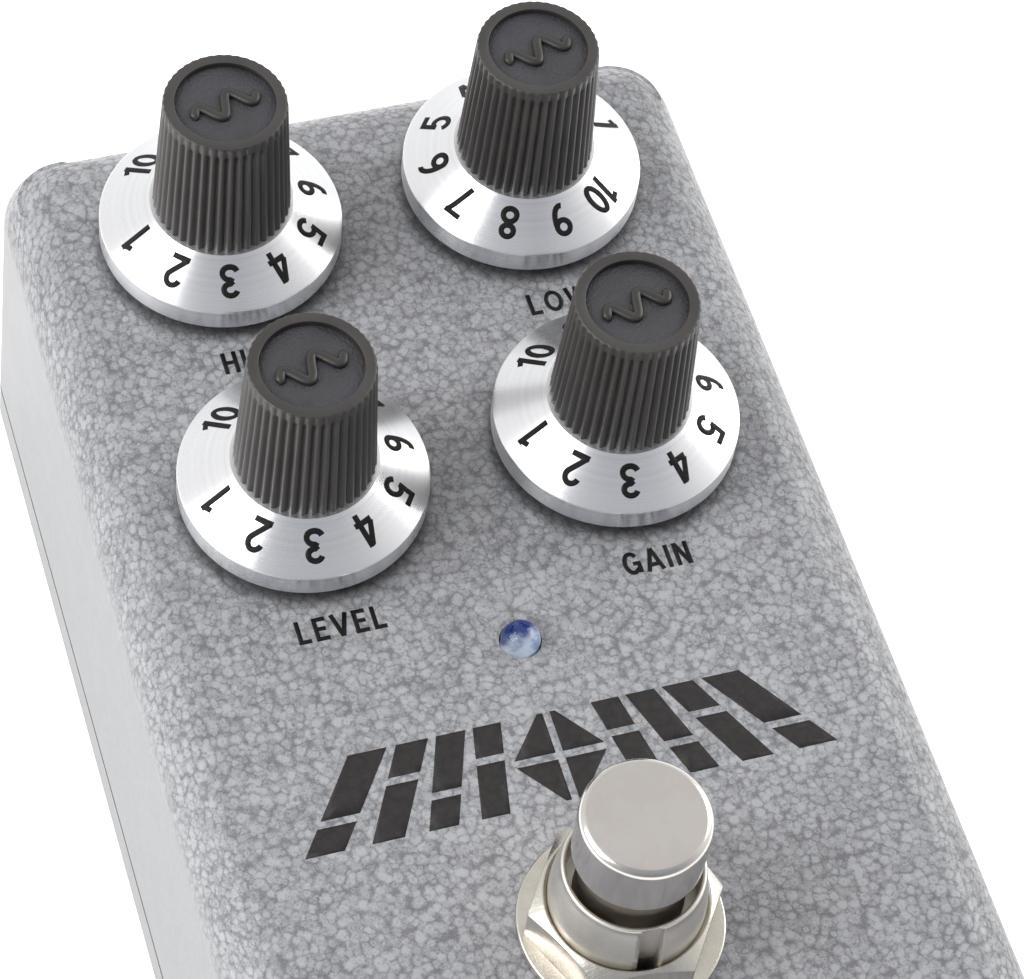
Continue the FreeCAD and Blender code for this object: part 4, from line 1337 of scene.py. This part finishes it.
# ================================================================ controls
@dataclass
class ControlKnob:
    """A fluted grip on a spun dial with ten printed figures.

    Args:
        name: the control's name, which starts the names of its CAD nodes.
        finishes: the finishes.
        font: the figures' alphabet.
        first_figure: direction of figure 1 at rest, in degrees.
        flutes: ridges round the grip.
        flute_depth: depth of the grooves between them.
        flute_stop: smooth band above the grooves.
        edge: rounding of the grip's top edge.
        draft: how much narrower the grip is at its top.
        rim_rise: height of the dial's straight rim.
        hollow: how far the cone sinks in its middle.
        ledge: width of the flat seat round the grip.
        dial_bore: radius of the hole in the dial.
        dial_wall: thickness of the dial's rim and seat.
        recess_radius: radius of the sunk face.
        recess_depth: its depth.
        figure_radius: distance of the figures from the axis.
        figure_height: height of a figure.
        figure_pitch: angle from one figure to the next, in degrees.
        wave_reach: half length of the raised wave.
        wave_swing: half height of the wave.
        wave_count: how many whole waves there are.
        wave_width: width of its ridge.
        wave_turn: how far the wave is turned, in degrees.
        ink: thickness of the print.
        body: the CAD body that the whole control rides on.
    """

    name: str
    finishes: Finishes
    font: StrokeFont
    first_figure: float
    flutes: int = 42
    flute_depth: float = 0.28 * MM
    flute_stop: float = 1.1 * MM
    edge: float = 0.22 * MM
    draft: float = 0.67 * MM
    rim_rise: float = 2.02 * MM
    hollow: float = 0.05 * MM
    ledge: float = 0.25 * MM
    dial_bore: float = 4.4 * MM
    dial_wall: tuple[float, float] = (0.8 * MM, 0.9 * MM)
    recess_radius: float = 4.08 * MM
    recess_depth: float = 0.5 * MM
    figure_radius: float = 7.85 * MM
    figure_height: float = 2.85 * MM
    figure_pitch: float = 100 / 3
    wave_reach: float = 3.0 * MM
    wave_swing: float = 1.0 * MM
    wave_count: float = 2.0
    wave_width: float = 0.84 * MM
    wave_turn: float = 18.0
    ink: float = 0.02 * MM
    body: str = field(init=False)

    def __post_init__(self) -> None:
        """Reads the control's place and outer sizes from its CAD nodes."""
        self.body = f"{self.name}_control"
        self.x, self.y, self.dial_radius = footprint(f"{self.name}_dial")
        self.dial_low, self.dial_high = (corner.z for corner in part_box(f"{self.name}_dial"))
        self.rim_high = self.dial_low + self.rim_rise
        self.grip_base = footprint(f"{self.name}_knob")[2]
        self.grip_top = self.grip_base - self.draft
        self.grip_low, self.grip_high = self.dial_high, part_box(f"{self.name}_knob")[1].z
        self.seat = self.grip_base + self.ledge

    def build(self) -> None:
        """Builds the dial, the grip, its sunk face, the wave and the figures."""
        self._dial()
        self._grip()
        self._face()
        self._wave()
        for figure in range(1, 11):
            self._figure(figure)

    def _dial(self) -> None:
        """A spun shell: an eased rim, a faintly hollow cone and a flat seat for the grip."""
        r, low, rim, top = self.dial_radius, self.dial_low, self.rim_high, self.dial_high
        seat, inner = self.seat, self.dial_bore
        across, down = self.dial_wall
        cone = [(r + (seat - r) * share, self._cone_height(share), 0.0)
                for share in np.linspace(0.08, 0.96, 9)]
        corners = [(r - across, rim - down, 0), (r - across, low, 0.05 * MM), (r, low, 0.12 * MM),
                   (r, rim, 0.16 * MM), *cone, (seat, top, 0.0), (inner, top, 0),
                   (inner, top - down, 0), (seat, top - down, 0)]
        piece = spun(f"{self.name}_spun_dial", eased(corners, 5), 160, (self.x, self.y), Ends.RING, 30)
        place(piece, self.body, "spun_aluminium", self.finishes.aluminium, f"{self.name}_dial")

    def _cone_height(self, share: float | np.ndarray) -> float | np.ndarray:
        """Height of the cone at a share of the way from rim to seat, less the hollow's half sine."""
        rise = self.dial_high - self.rim_high
        return self.rim_high + rise * share - self.hollow * np.sin(math.pi * share)

    def _grip(self) -> None:
        """The grip: radius is a taper less the groove depth times a wave round the axis.

        The wave is a raised cosine to the power 0.7, which leaves rounded ridges and tight grooves.
        Its depth fades to a scallop above the stop and to nothing at the eased top edge. The ridge
        attribute follows the wave, and is even on the band above it; it paints a highlight on the
        crests and shade in the grooves.
        """
        columns, rows, scallop = self.flutes * 12, 14, 0.42
        stop = self.grip_high - self.flute_stop
        body = np.linspace(self.grip_low, stop, rows)
        fade = np.linspace(stop, stop + 0.18 * MM, 4)[1:]
        wall = np.concatenate([body, fade, [self.grip_high - 2 * self.edge]])
        bend = np.radians(np.linspace(0, 90, 7))
        share = (wall - self.grip_low) / (self.grip_high - self.grip_low)
        taper = self.grip_base + (self.grip_top - self.grip_base) * share
        corner_r = self.grip_top - self.edge + self.edge * np.cos(bend)
        corner_z = self.grip_high - self.edge + self.edge * np.sin(bend)
        groove = np.concatenate([np.ones(rows), [0.8, 0.6, 0.48, scallop],
                                 np.linspace(scallop, 0.0, len(bend))])
        radius = np.concatenate([taper, corner_r])
        height = np.concatenate([wall, corner_z])
        angle = np.arange(columns) * FULL_TURN / columns
        wave = ((1 - np.cos(self.flutes * angle)) / 2) ** 0.7
        depth = self.flute_depth * groove[:, None] * (1 - wave)
        reach = radius[:, None] - depth
        outside = np.stack([reach * np.cos(angle), reach * np.sin(angle), height[:, None] + 0 * angle],
                           axis=-1)
        lip = 0.09 * MM
        r, top = self.recess_radius, self.grip_high
        inward = np.array([(r + lip, top), (r + 0.3 * lip, top - 0.3 * lip), (r, top - lip),
                           (r, top - self.recess_depth - 0.1 * MM)])
        rings = np.concatenate([outside, turned(inward, columns)])
        skin = loft(rings, Ends.POLES).moved(self.x, self.y)
        piece = mesh_object(f"{self.name}_fluted_grip", skin, 42)
        # painted highlight and shade: the ridge share is high on the crests, low in the grooves and even on
        # the ring
        band = 0.45
        ridge = wave[None, :] * groove[:, None] + band * (1 - groove)[:, None]
        mask = np.zeros(len(piece.data.vertices), np.float32)
        mask[:ridge.size] = np.clip(ridge, 0, 1).ravel()
        mask[ridge.size:ridge.size + columns * 2] = band
        piece.data.attributes.new("ridge", "FLOAT", "POINT").data.foreach_set("value", mask)
        place(piece, self.body, "knob_plastic", self.finishes.grip, f"{self.name}_knob")

    def _face(self) -> None:
        """The sunk face: a disc whose height falls by a little towards its rim, closed below."""
        top = self.grip_high - self.recess_depth
        r = self.recess_radius
        profile = np.array([(r, top - 0.25 * MM), (r, top - 0.02 * MM), (r * 0.97, top), (r * 0.5, top)])
        piece = spun(f"{self.name}_sunk_face", profile, 96, (self.x, self.y))
        place(piece, self.body, "knob_plastic", self.finishes.recess)

    def _wave(self) -> None:
        """A raised ridge along a sine that levels out at both ends, turned a little.

        y is the swing times the sine of pi x count / reach, times one less the sixth power of
        x / reach. The section is a rounded bar, which shrinks as a half circle at both ends.
        """
        steps, around = 96, 12
        x = np.linspace(-self.wave_reach, self.wave_reach, steps)
        pitch = math.pi * self.wave_count / self.wave_reach
        y = self.wave_swing * np.sin(pitch * x) * (1 - (x / self.wave_reach) ** 6)
        slope = np.gradient(y, x)
        normal = np.stack([-slope, np.ones(steps)], axis=-1) / np.sqrt(1 + slope ** 2)[:, None]
        tip = np.clip((self.wave_reach - np.abs(x)) * 2 / self.wave_width, 0.004, 1)
        end = np.sqrt(1 - (1 - tip) ** 2)
        turn = np.arange(around) * FULL_TURN / around
        full = 0.6
        wide = np.sign(np.cos(turn)) * np.abs(np.cos(turn)) ** full * self.wave_width / 2
        tall = np.sign(np.sin(turn)) * np.abs(np.sin(turn)) ** full * self.recess_depth * 0.84
        base = self.grip_high - self.recess_depth
        across = end[:, None] * wide[None, :]
        flat_x = x[:, None] + normal[:, :1] * across
        flat_y = y[:, None] + normal[:, 1:] * across
        height = np.maximum(base + end[:, None] * tall[None, :], base - 0.05 * MM)
        cosine, sine = math.cos(math.radians(self.wave_turn)), math.sin(math.radians(self.wave_turn))
        rings = np.stack([flat_x * cosine - flat_y * sine, flat_x * sine + flat_y * cosine, height],
                         axis=-1)
        skin = loft(rings[:, ::-1], Ends.POLES).moved(self.x, self.y)
        piece = mesh_object(f"{self.name}_raised_wave", skin, 50)
        place(piece, self.body, "knob_plastic", self.finishes.grip)

    def _figure(self, figure: int) -> None:
        """Prints one figure on the cone, its top outwards.

        A flat point (across, up) goes to the cone at radius r = figure radius + up times the cone's
        run, at an angle of the figure less across / r, and at the cone's height there.

        Args:
            figure: the number, from 1 to 10.
        """
        outlines, width = self.font.ribbons(str(figure))
        size = self.figure_height
        shapes = [(outline - np.array([width / 2, 0.5])) * size for outline in outlines]
        azimuth = math.radians(self.first_figure + self.figure_pitch * (figure - 1))
        run = self.dial_radius - self.seat
        slant = math.hypot(run, self.dial_high - self.rim_high)

        def carry(flat: np.ndarray) -> np.ndarray:
            """Carries flat points onto the cone.

            Args:
                flat: points as (across, up) rows.

            Returns:
                The points on the cone, one row each.
            """
            radius = self.figure_radius + flat[:, 1] * run / slant
            height = self._cone_height((self.dial_radius - radius) / run) + LIFT
            angle = azimuth - flat[:, 0] / radius
            return np.stack([self.x + radius * np.cos(angle), self.y + radius * np.sin(angle), height],
                            axis=-1)

        piece = printed(f"{self.name}_figure_{figure}", shapes, 0.22 * MM, carry, self.ink)
        place(piece, self.body, "spun_aluminium", self.finishes.ink)


# ================================================================ case
@dataclass
class Case:
    """The painted box, its cover and the fixings below.

    Args:
        finishes: the finishes.
    """

    finishes: Finishes

    def build(self) -> None:
        """Makes a smooth copy of the box, the cover, the feet and the screws, each in its finish."""
        f = self.finishes
        pieces = (("painted_case", "enclosure", "hammered_paint", f.paint),
                  ("painted_cover", "bottom_cover", "hammered_paint", f.paint),
                  ("feet", "rubber_feet", "foot_rubber", f.rubber),
                  ("screws", "cover_screws", "zinc_steel", f.zinc))
        for name, node, slot, finish in pieces:
            place(smooth_copy(name, node), "case", slot, finish, node)


@dataclass
class PanelPrint:
    """What is printed on the top face: four plain labels and a row of stencil shapes.

    Args:
        finishes: the finishes.
        font: the labels' alphabet.
        label_height: height of a label's capitals.
        label_drop: from a knob's axis down to the middle of its label.
        label_shift: how far that middle stands left of the axis.
        band_low: lower edge of the row of shapes.
        band_high: its upper edge.
        band_reach: half its length.
        slant: how far the outermost bar leans inwards, as a share of its place.
        bars: foot, width and height of the stencil gap of each bar, in shares of the half row.
        ink: thickness of the print.
    """

    finishes: Finishes
    font: StrokeFont
    label_height: float = 2.15 * MM
    label_drop: float = 12.6 * MM
    label_shift: float = 0.25 * MM
    band_low: float = -17.5 * MM
    band_high: float = -9.6 * MM
    band_reach: float = 21.6 * MM
    slant: float = 0.30
    bars: tuple[tuple[float, float, float], ...] = ((0.245, 0.105, 0.62), (0.435, 0.11, 0.36),
                                                    (0.635, 0.12, 0.62), (0.855, 0.145, 0.32))
    ink: float = 0.02 * MM

    def lean(self, foot: float, height: float) -> float:
        """Where a bar that starts at foot is at a height: it leans inwards in proportion to foot."""
        return foot * (1 - self.slant * height)

    def build(self) -> None:
        """Prints the labels and the shapes."""
        self.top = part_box("enclosure")[1].z
        for name in CONTROLS:
            x, y, _ = footprint(f"{name}_dial")
            self._label(name.upper(), x - self.label_shift, y - self.label_drop)
        self._shapes()

    def _carry(self, flat: np.ndarray) -> np.ndarray:
        """Lays flat points on the top face."""
        return np.column_stack([flat, np.full(len(flat), self.top + 0.003 * MM)])

    def _label(self, words: str, x: float, y: float) -> None:
        """Prints one label.

        Args:
            words: the label.
            x: its middle, across.
            y: its middle, along the case.
        """
        outlines, width = self.font.ribbons(words)
        shift = np.array([width / 2, 0.5])
        shapes = [(outline - shift) * self.label_height + np.array([x, y]) for outline in outlines]
        piece = printed(f"label_{words.lower()}", shapes, 0.6 * MM, self._carry, self.ink)
        place(piece, "case", "hammered_paint", self.finishes.ink)

    def _shapes(self) -> None:
        """Prints a split diamond between rows of leaning bars, each cut by a stencil gap.

        A bar's foot is at one share of the half row and its head at a lesser share, so that the bars
        lean towards the middle and the row is narrower above. The left half mirrors the right.
        """
        slit, tip, half_cut = 0.014, 0.034, 0.04
        waist = 0.17
        right = [line((slit, 0.0), (tip, 0.0), (waist, 0.5 - half_cut), (slit, 0.5 - half_cut)),
                 line((slit, 0.5 + half_cut), (waist, 0.5 + half_cut), (tip, 1.0), (slit, 1.0))]
        for foot, width, cut in self.bars:
            low, high = cut - half_cut, cut + half_cut
            for start, end in ((0.0, low), (high, 1.0)):
                below, above = self.lean(foot, start), self.lean(foot, end)
                right.append(line((below, start), (below + width, start), (above + width, end),
                                  (above, end)))
        scale = np.array([self.band_reach, self.band_high - self.band_low])
        base = np.array([0.0, self.band_low])
        shapes = [outline * scale + base for outline in right]
        shapes += [(outline * np.array([-1, 1]) * scale + base)[::-1] for outline in right]
        piece = printed("stencil_row", shapes, 1.2 * MM, self._carry, self.ink)
        place(piece, "case", "hammered_paint", self.finishes.title_ink)


# ================================================================ light and footswitch
@dataclass
class StatusLight:
    """A clear domed light in its hole.

    Args:
        finishes: the finishes.
        dome_rise: height of the dome above its straight side.
        cup_drop: from the dome's top down to the cup inside.
        flange_width: how far the flange stands out at the foot.
        flange_high: height of the flange.
    """

    finishes: Finishes
    dome_rise: float = 1.45 * MM
    cup_drop: float = 2.2 * MM
    flange_width: float = 0.3 * MM
    flange_high: float = 0.9 * MM

    def build(self) -> None:
        """Builds the lens and the cup that shows through it.

        The dome is part of a ball. The ball's radius is half of the sum of the side's radius squared
        and the rise squared, divided by the rise.
        """
        low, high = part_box("status_led")
        x, y, flange = footprint("status_led")
        radius = flange - self.flange_width
        rise = self.dome_rise
        ball = (radius ** 2 + rise ** 2) / (2 * rise)
        lean = np.linspace(math.asin(min(1.0, radius / ball)), 0.04, 14)
        dome = np.stack([ball * np.sin(lean), high.z - ball + ball * np.cos(lean)], axis=-1)
        step = low.z + self.flange_high
        foot = np.array([(flange, low.z), (flange, step), (radius, step)])
        lens = spun("light_lens", np.vstack([foot, dome]), 64, (x, y))
        place(lens, "case", "clear_lens", self.finishes.resin, "status_led")
        top = high.z - self.cup_drop
        cup = np.array([(radius * 0.6, top - 1.2 * MM), (radius * 0.9, top - 0.1 * MM), (radius * 0.86, top),
                        (radius * 0.5, top - 0.25 * MM), (radius * 0.2, top - 0.35 * MM)])
        inside = LightInside((x, y, top)).material()
        place(spun("light_cup", cup, 48, (x, y)), "case", "clear_lens", inside)


@dataclass
class Footswitch:
    """The stomp switch above the case: washer, nut, flared sleeve, neck and polished cap.

    Args:
        finishes: the finishes.
        cap_round: rounding of the cap's top edge.
        cap_ease: rounding of its lower edge.
        crown: how far the cap's middle stands above its edge.
        washer_round: rounding of the washer's edges.
        washer_bore: radius of its hole.
        nut_flats: width of the nut across its flats.
        nut_bore: radius of its hole.
        nut_rise: height of the nut's corner chamfer.
        nut_turn: how far the nut is turned, in degrees.
    """

    finishes: Finishes
    cap_round: float = 0.72 * MM
    cap_ease: float = 0.2 * MM
    crown: float = 0.03 * MM
    washer_round: float = 0.18 * MM
    washer_bore: float = 6.1 * MM
    nut_flats: float = 13.1 * MM
    nut_bore: float = 6.03 * MM
    nut_rise: float = 0.9 * MM
    nut_turn: float = -5.0

    def build(self) -> None:
        """Builds the cap, neck, sleeve, nut and washer."""
        x, y, radius = footprint("footswitch_button")
        self.axis = (x, y)
        low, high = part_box("footswitch_button")
        self._cap(radius, low.z, high.z)
        self._neck()
        self._washer()
        self._nut()
        sleeve = smooth_copy("flared_sleeve", "footswitch_bushing", 40)
        place(sleeve, "case", "nickel", self.finishes.satin, "footswitch_bushing")

    def _cap(self, r: float, low: float, high: float) -> None:
        """A spun cap: straight side, eased lower edge, round top edge and a very slight crown.

        Args:
            r: radius.
            low: lower edge.
            high: top.
        """
        shares = (0.86, 0.6, 0.3, 0.1)
        top = [(share * r, high - self.crown * (share / shares[0]) ** 2, 0.0) for share in shares]
        corners = [(0.3 * r, low, 0.0), (r, low, self.cap_ease),
                   (r, high - self.crown, self.cap_round), *top]
        piece = spun("polished_cap", eased(corners, 10), 144, self.axis, sharp_degrees=50)
        place(piece, "footswitch_push", "chrome", self.finishes.chrome, "footswitch_button")

    def _neck(self) -> None:
        """The neck: a spun rod with a narrow groove under the cap."""
        low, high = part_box("footswitch_plunger")
        r = footprint("footswitch_plunger")[2]
        groove = high.z - 0.7 * MM
        root = r - 0.25 * MM
        corners = [(0.2 * r, low.z, 0), (r, low.z, 0.2 * MM), (r, groove - 0.4 * MM, 0.05 * MM),
                   (root, groove - 0.3 * MM, 0.0), (root, groove, 0.0), (r, groove + 0.1 * MM, 0.05 * MM),
                   (r, high.z, 0.0), (0.2 * r, high.z, 0.0)]
        piece = spun("neck", eased(corners, 4), 96, self.axis)
        place(piece, "footswitch_push", "dark_steel", self.finishes.dark_steel, "footswitch_plunger")

    def _washer(self) -> None:
        """A flat ring with rounded edges."""
        low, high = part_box("footswitch_washer")
        r = footprint("footswitch_washer")[2]
        inner, ease, middle = self.washer_bore, self.washer_round, (low.z + high.z) / 2
        corners = [(inner, middle, 0), (inner, low.z, 0.03 * MM), (r, low.z, ease), (r, high.z, ease),
                   (inner, high.z, 0.1 * MM), (inner, middle + 0.05 * MM, 0)]
        piece = spun("round_washer", eased(corners, 6), 128, self.axis, Ends.RING, 50)
        place(piece, "case", "nickel", self.finishes.nickel, "footswitch_washer")

    def _nut(self) -> None:
        """A hexagonal nut with chamfered corners.

        The outer radius is half the flats divided by the cosine of the angle from the nearest flat's
        middle. Above half the flats, the top falls with the radius by the chamfer's slope.
        """
        low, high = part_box("footswitch_nut")
        half = self.nut_flats / 2
        angle = np.arange(240) * FULL_TURN / 240
        away = (angle - math.radians(self.nut_turn)) % (math.pi / 3) - math.pi / 6
        outer = half / np.cos(away)
        ease = 0.07 * MM
        lead = 0.35 * MM
        start = half - 0.2 * MM
        slope = self.nut_rise / (half / math.cos(math.pi / 6) - start)
        fall = np.maximum(outer - start, 0) * slope
        flat = np.minimum(outer, start)
        rows = [(self.nut_bore, low.z), (outer - 2 * ease, low.z), (outer, low.z + ease),
                (outer, high.z - fall - ease), (outer - 0.4 * ease, high.z - fall + 0.1 * ease),
                (flat, high.z - 0.3 * ease), (flat - ease, high.z),
                (self.nut_bore + lead, high.z), (self.nut_bore, high.z - lead)]
        reach = np.stack([radius + 0 * angle for radius, _ in rows])
        height = np.minimum(np.stack([level + 0 * angle for _, level in rows]), high.z)
        rings = np.stack([reach * np.cos(angle), reach * np.sin(angle), height], axis=-1)
        piece = mesh_object("hexagonal_nut", loft(rings, Ends.RING).moved(*self.axis), 20)
        weigh_normals(piece)
        place(piece, "case", "nickel", self.finishes.nickel, "footswitch_nut")


# ================================================================ rear sockets and inner works
@dataclass
class RearSockets:
    """The two jacks and the power socket on the rear wall.

    Args:
        finishes: the finishes.
    """

    finishes: Finishes

    def build(self) -> None:
        """Makes smooth copies of what shows and dresses what doesn't."""
        for side in ("input", "output"):
            for part in ("bushing", "washer", "nut"):
                node = f"{side}_jack_{part}"
                place(smooth_copy(f"{side}_{part}", node, 30), "case", "nickel", self.finishes.nickel, node)
            dress(self.finishes.black_plastic, f"{side}_jack_body")
            dress(self.finishes.copper, f"{side}_jack_contacts")
        socket = smooth_copy("power_socket", "dc_socket_body", 30)
        place(socket, "case", "black_plastic", self.finishes.black_plastic, "dc_socket_body")
        pin = smooth_copy("power_pin", "dc_socket_pin", 30)
        place(pin, "case", "nickel", self.finishes.nickel, "dc_socket_pin")


@dataclass
class InnerWorks:
    """Everything inside the case, which keeps its CAD shape.

    Args:
        finishes: the finishes.
        button_travel: how far the return spring shortens; not used.
    """

    finishes: Finishes
    button_travel: float = 2.5 * MM

    def build(self) -> None:
        """Gives each inner node its finish."""
        f = self.finishes
        dress(f.board, "main_board", "footswitch_board")
        dress(f.cable, "ribbon_cable")
        dress(f.black_plastic, "amplifier_chips")
        dress(f.can, "electrolytic_capacitors")
        dress(f.film, "film_capacitors")
        dress(f.glaze, "resistors")
        dress(f.copper, "led_leads", "pot_legs", "footswitch_lugs")
        self._spring()
        dress(f.blue_plastic, "footswitch_body")
        dress(f.nickel, "footswitch_lower_nut")
        dress(f.zinc, "pot_washers", "pot_nuts")
        for name in CONTROLS:
            dress(f.pot, f"{name}_pot_body")
            dress(f.zinc, f"{name}_pot_shaft")

    def _spring(self) -> None:
        """The return spring, a smooth copy of its CAD node with a mesh of its own."""
        piece = smooth_copy("return_spring", "footswitch_spring", 60)
        place(piece, "case", "spring_steel", self.finishes.spring, "footswitch_spring")
        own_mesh(piece)


# ================================================================ studio
@dataclass
class Studio:
    """A pale floor, soft lights and the camera.

    Args:
        eye: the camera's place.
        aim: a point on its axis.
        roll: turn about the axis, in degrees.
        lens: focal length in millimetres for a 36 mm wide sensor.
        floor_reach: half the floor's length.
        overhead: linear colour of the room overhead.
        above_front: linear colour of the room above the front.
        grey: linear colour of the room's grey panel.
        grey_way: direction of the grey panel, which level metal mirrors.
    """

    eye: tuple[float, float, float] = (-66.0559 * MM, -141.4292 * MM, 283.0929 * MM)
    aim: tuple[float, float, float] = (3.5113 * MM, 11.0498 * MM, 34.9 * MM)
    roll: float = 9.184
    lens: float = 129.591
    floor_reach: float = 2.5
    overhead: tuple[float, float, float, float] = (0.93, 0.915, 0.90, 1.0)
    above_front: tuple[float, float, float, float] = (0.44, 0.45, 0.48, 1.0)
    grey: tuple[float, float, float, float] = (0.79, 0.776, 0.762, 1.0)
    grey_way: tuple[float, float, float] = (0.23, 0.51, 0.83)

    def build(self) -> None:
        """Sets up everything around the object."""
        self._floor()
        self._world()
        self._light("left_panel", (-0.50, 0.03, 0.45), (0.0, 0.02, 0.02), 0.45, 3.1)
        self._light("right_panel", (0.60, 0.20, 0.40), (0.0, 0.0, 0.02), 0.40, 1.5)
        self._camera()

    def _floor(self) -> None:
        """A flat grid of pale floor just under the feet."""
        reach = self.floor_reach
        marks = np.linspace(-reach, reach, 9)
        x, y = np.meshgrid(marks, marks)
        points = np.stack([x.ravel(), y.ravel(), np.zeros(x.size)], axis=-1)
        number = np.arange(x.size).reshape(x.shape)
        quads = np.stack([number[:-1, :-1], number[:-1, 1:], number[1:, 1:], number[1:, :-1]], axis=-1)
        floor = mesh_object("floor", bare(points, quads.reshape(-1, 4), NO_TRIANGLES))
        shader = Shader("pale_floor", Specular_IOR_Level=0.1, Roughness=0.8, Emission_Color=WHITE,
                        Emission_Strength=0.5)
        patch = shader.effect(EFFECTS.dust, shader.place(), Patch_Size=0.4)
        colour = shader.mix(patch.outputs[0], (0.93, 0.93, 0.93, 1.0), (0.95, 0.95, 0.95, 1.0))
        shader.join("Base Color", colour)
        floor.data.materials.append(shader.material)

    def _world(self) -> None:
        """A white room: bright to the right, greyer overhead, at the front and above the front."""
        world = bpy.data.worlds.new("soft_room")
        bpy.context.scene.world = world
        world.use_nodes = True
        graph = Graph(world.node_tree)
        graph.tree.nodes.clear()
        direction = graph.add("ShaderNodeTexCoord").outputs["Generated"]
        parts = graph.add("ShaderNodeSeparateXYZ", {0: direction})
        rise = graph.spread(parts.outputs[2], 0.10, 0.75)
        forward = graph.math("MULTIPLY_ADD", parts.outputs[1], -1.0, parts.outputs[2])
        front = graph.spread(forward, 0.7, 1.35)
        colour = graph.mix(rise, WHITE, self.overhead)
        colour = graph.mix(front, colour, self.above_front)
        toward = graph.add("ShaderNodeVectorMath", {0: direction, 1: self.grey_way},
                           operation="DOT_PRODUCT")
        grey = graph.spread(toward.outputs["Value"], 0.80, 0.95)
        colour = graph.mix(grey, colour, self.grey)
        along = graph.spread(parts.outputs[1], -0.7, 0.1, 0.55, 0.95)
        across = graph.spread(parts.outputs[0], 0.1, 0.75, 1.0, 1.25)
        level = graph.math("MULTIPLY", along, across)
        low = graph.math("SUBTRACT", 1.0, rise)
        change = graph.math("MULTIPLY", graph.math("SUBTRACT", level, 1.0), low)
        back = graph.add("ShaderNodeBackground", {0: colour, 1: graph.math("ADD", change, 1.0)})
        end = graph.add("ShaderNodeOutputWorld")
        graph.tree.links.new(back.outputs[0], end.inputs[0])

    def _light(self, name: str, middle: tuple[float, float, float],
               target: tuple[float, float, float], size: float, power: float) -> None:
        """Adds one square light that faces a target.

        Args:
            name: its name.
            middle: where it stands.
            target: where it points.
            size: length of its side.
            power: its power in watts.
        """
        data = bpy.data.lights.new(name, "AREA")
        data.shape = "RECTANGLE"
        data.size = data.size_y = size
        data.energy = power
        lamp = linked(name, data)
        lamp.location = middle
        lamp.rotation_euler = (Vector(target) - Vector(middle)).to_track_quat("-Z", "Y").to_euler()

    def _camera(self) -> None:
        """Adds the camera: aimed along its axis, then rolled about it."""
        data = bpy.data.cameras.new("camera")
        data.sensor_width = 36.0
        data.lens = self.lens
        data.clip_start = 0.01
        data.clip_end = 10.0
        camera = linked("camera", data)
        look = (Vector(self.aim) - Vector(self.eye)).to_track_quat("-Z", "Y").to_matrix().to_4x4()
        roll = Matrix.Rotation(math.radians(self.roll), 4, "Z")
        camera.matrix_world = Matrix.Translation(Vector(self.eye)) @ look @ roll
        bpy.context.scene.camera = camera
        settings = bpy.context.scene.view_settings
        settings.view_transform = "Standard"
        settings.look = "None"


def main() -> None:
    """Builds the pedal, piece by piece, and its studio."""
    logging.basicConfig(level=logging.INFO, format="%(name)s: %(message)s")
    finishes = Finishes()
    font = StrokeFont()
    Case(finishes).build()
    PanelPrint(finishes, StrokeFont(weight=0.17, gap=0.17)).build()
    for name, first in zip(CONTROLS, (193.9, 10.8, 193.8, 192.5)):
        ControlKnob(name, finishes, font, first).build()
    StatusLight(finishes).build()
    Footswitch(finishes).build()
    RearSockets(finishes).build()
    InnerWorks(finishes).build()
    Studio().build()
    bpy.context.view_layer.update()


if __name__ == "__main__":
    main()
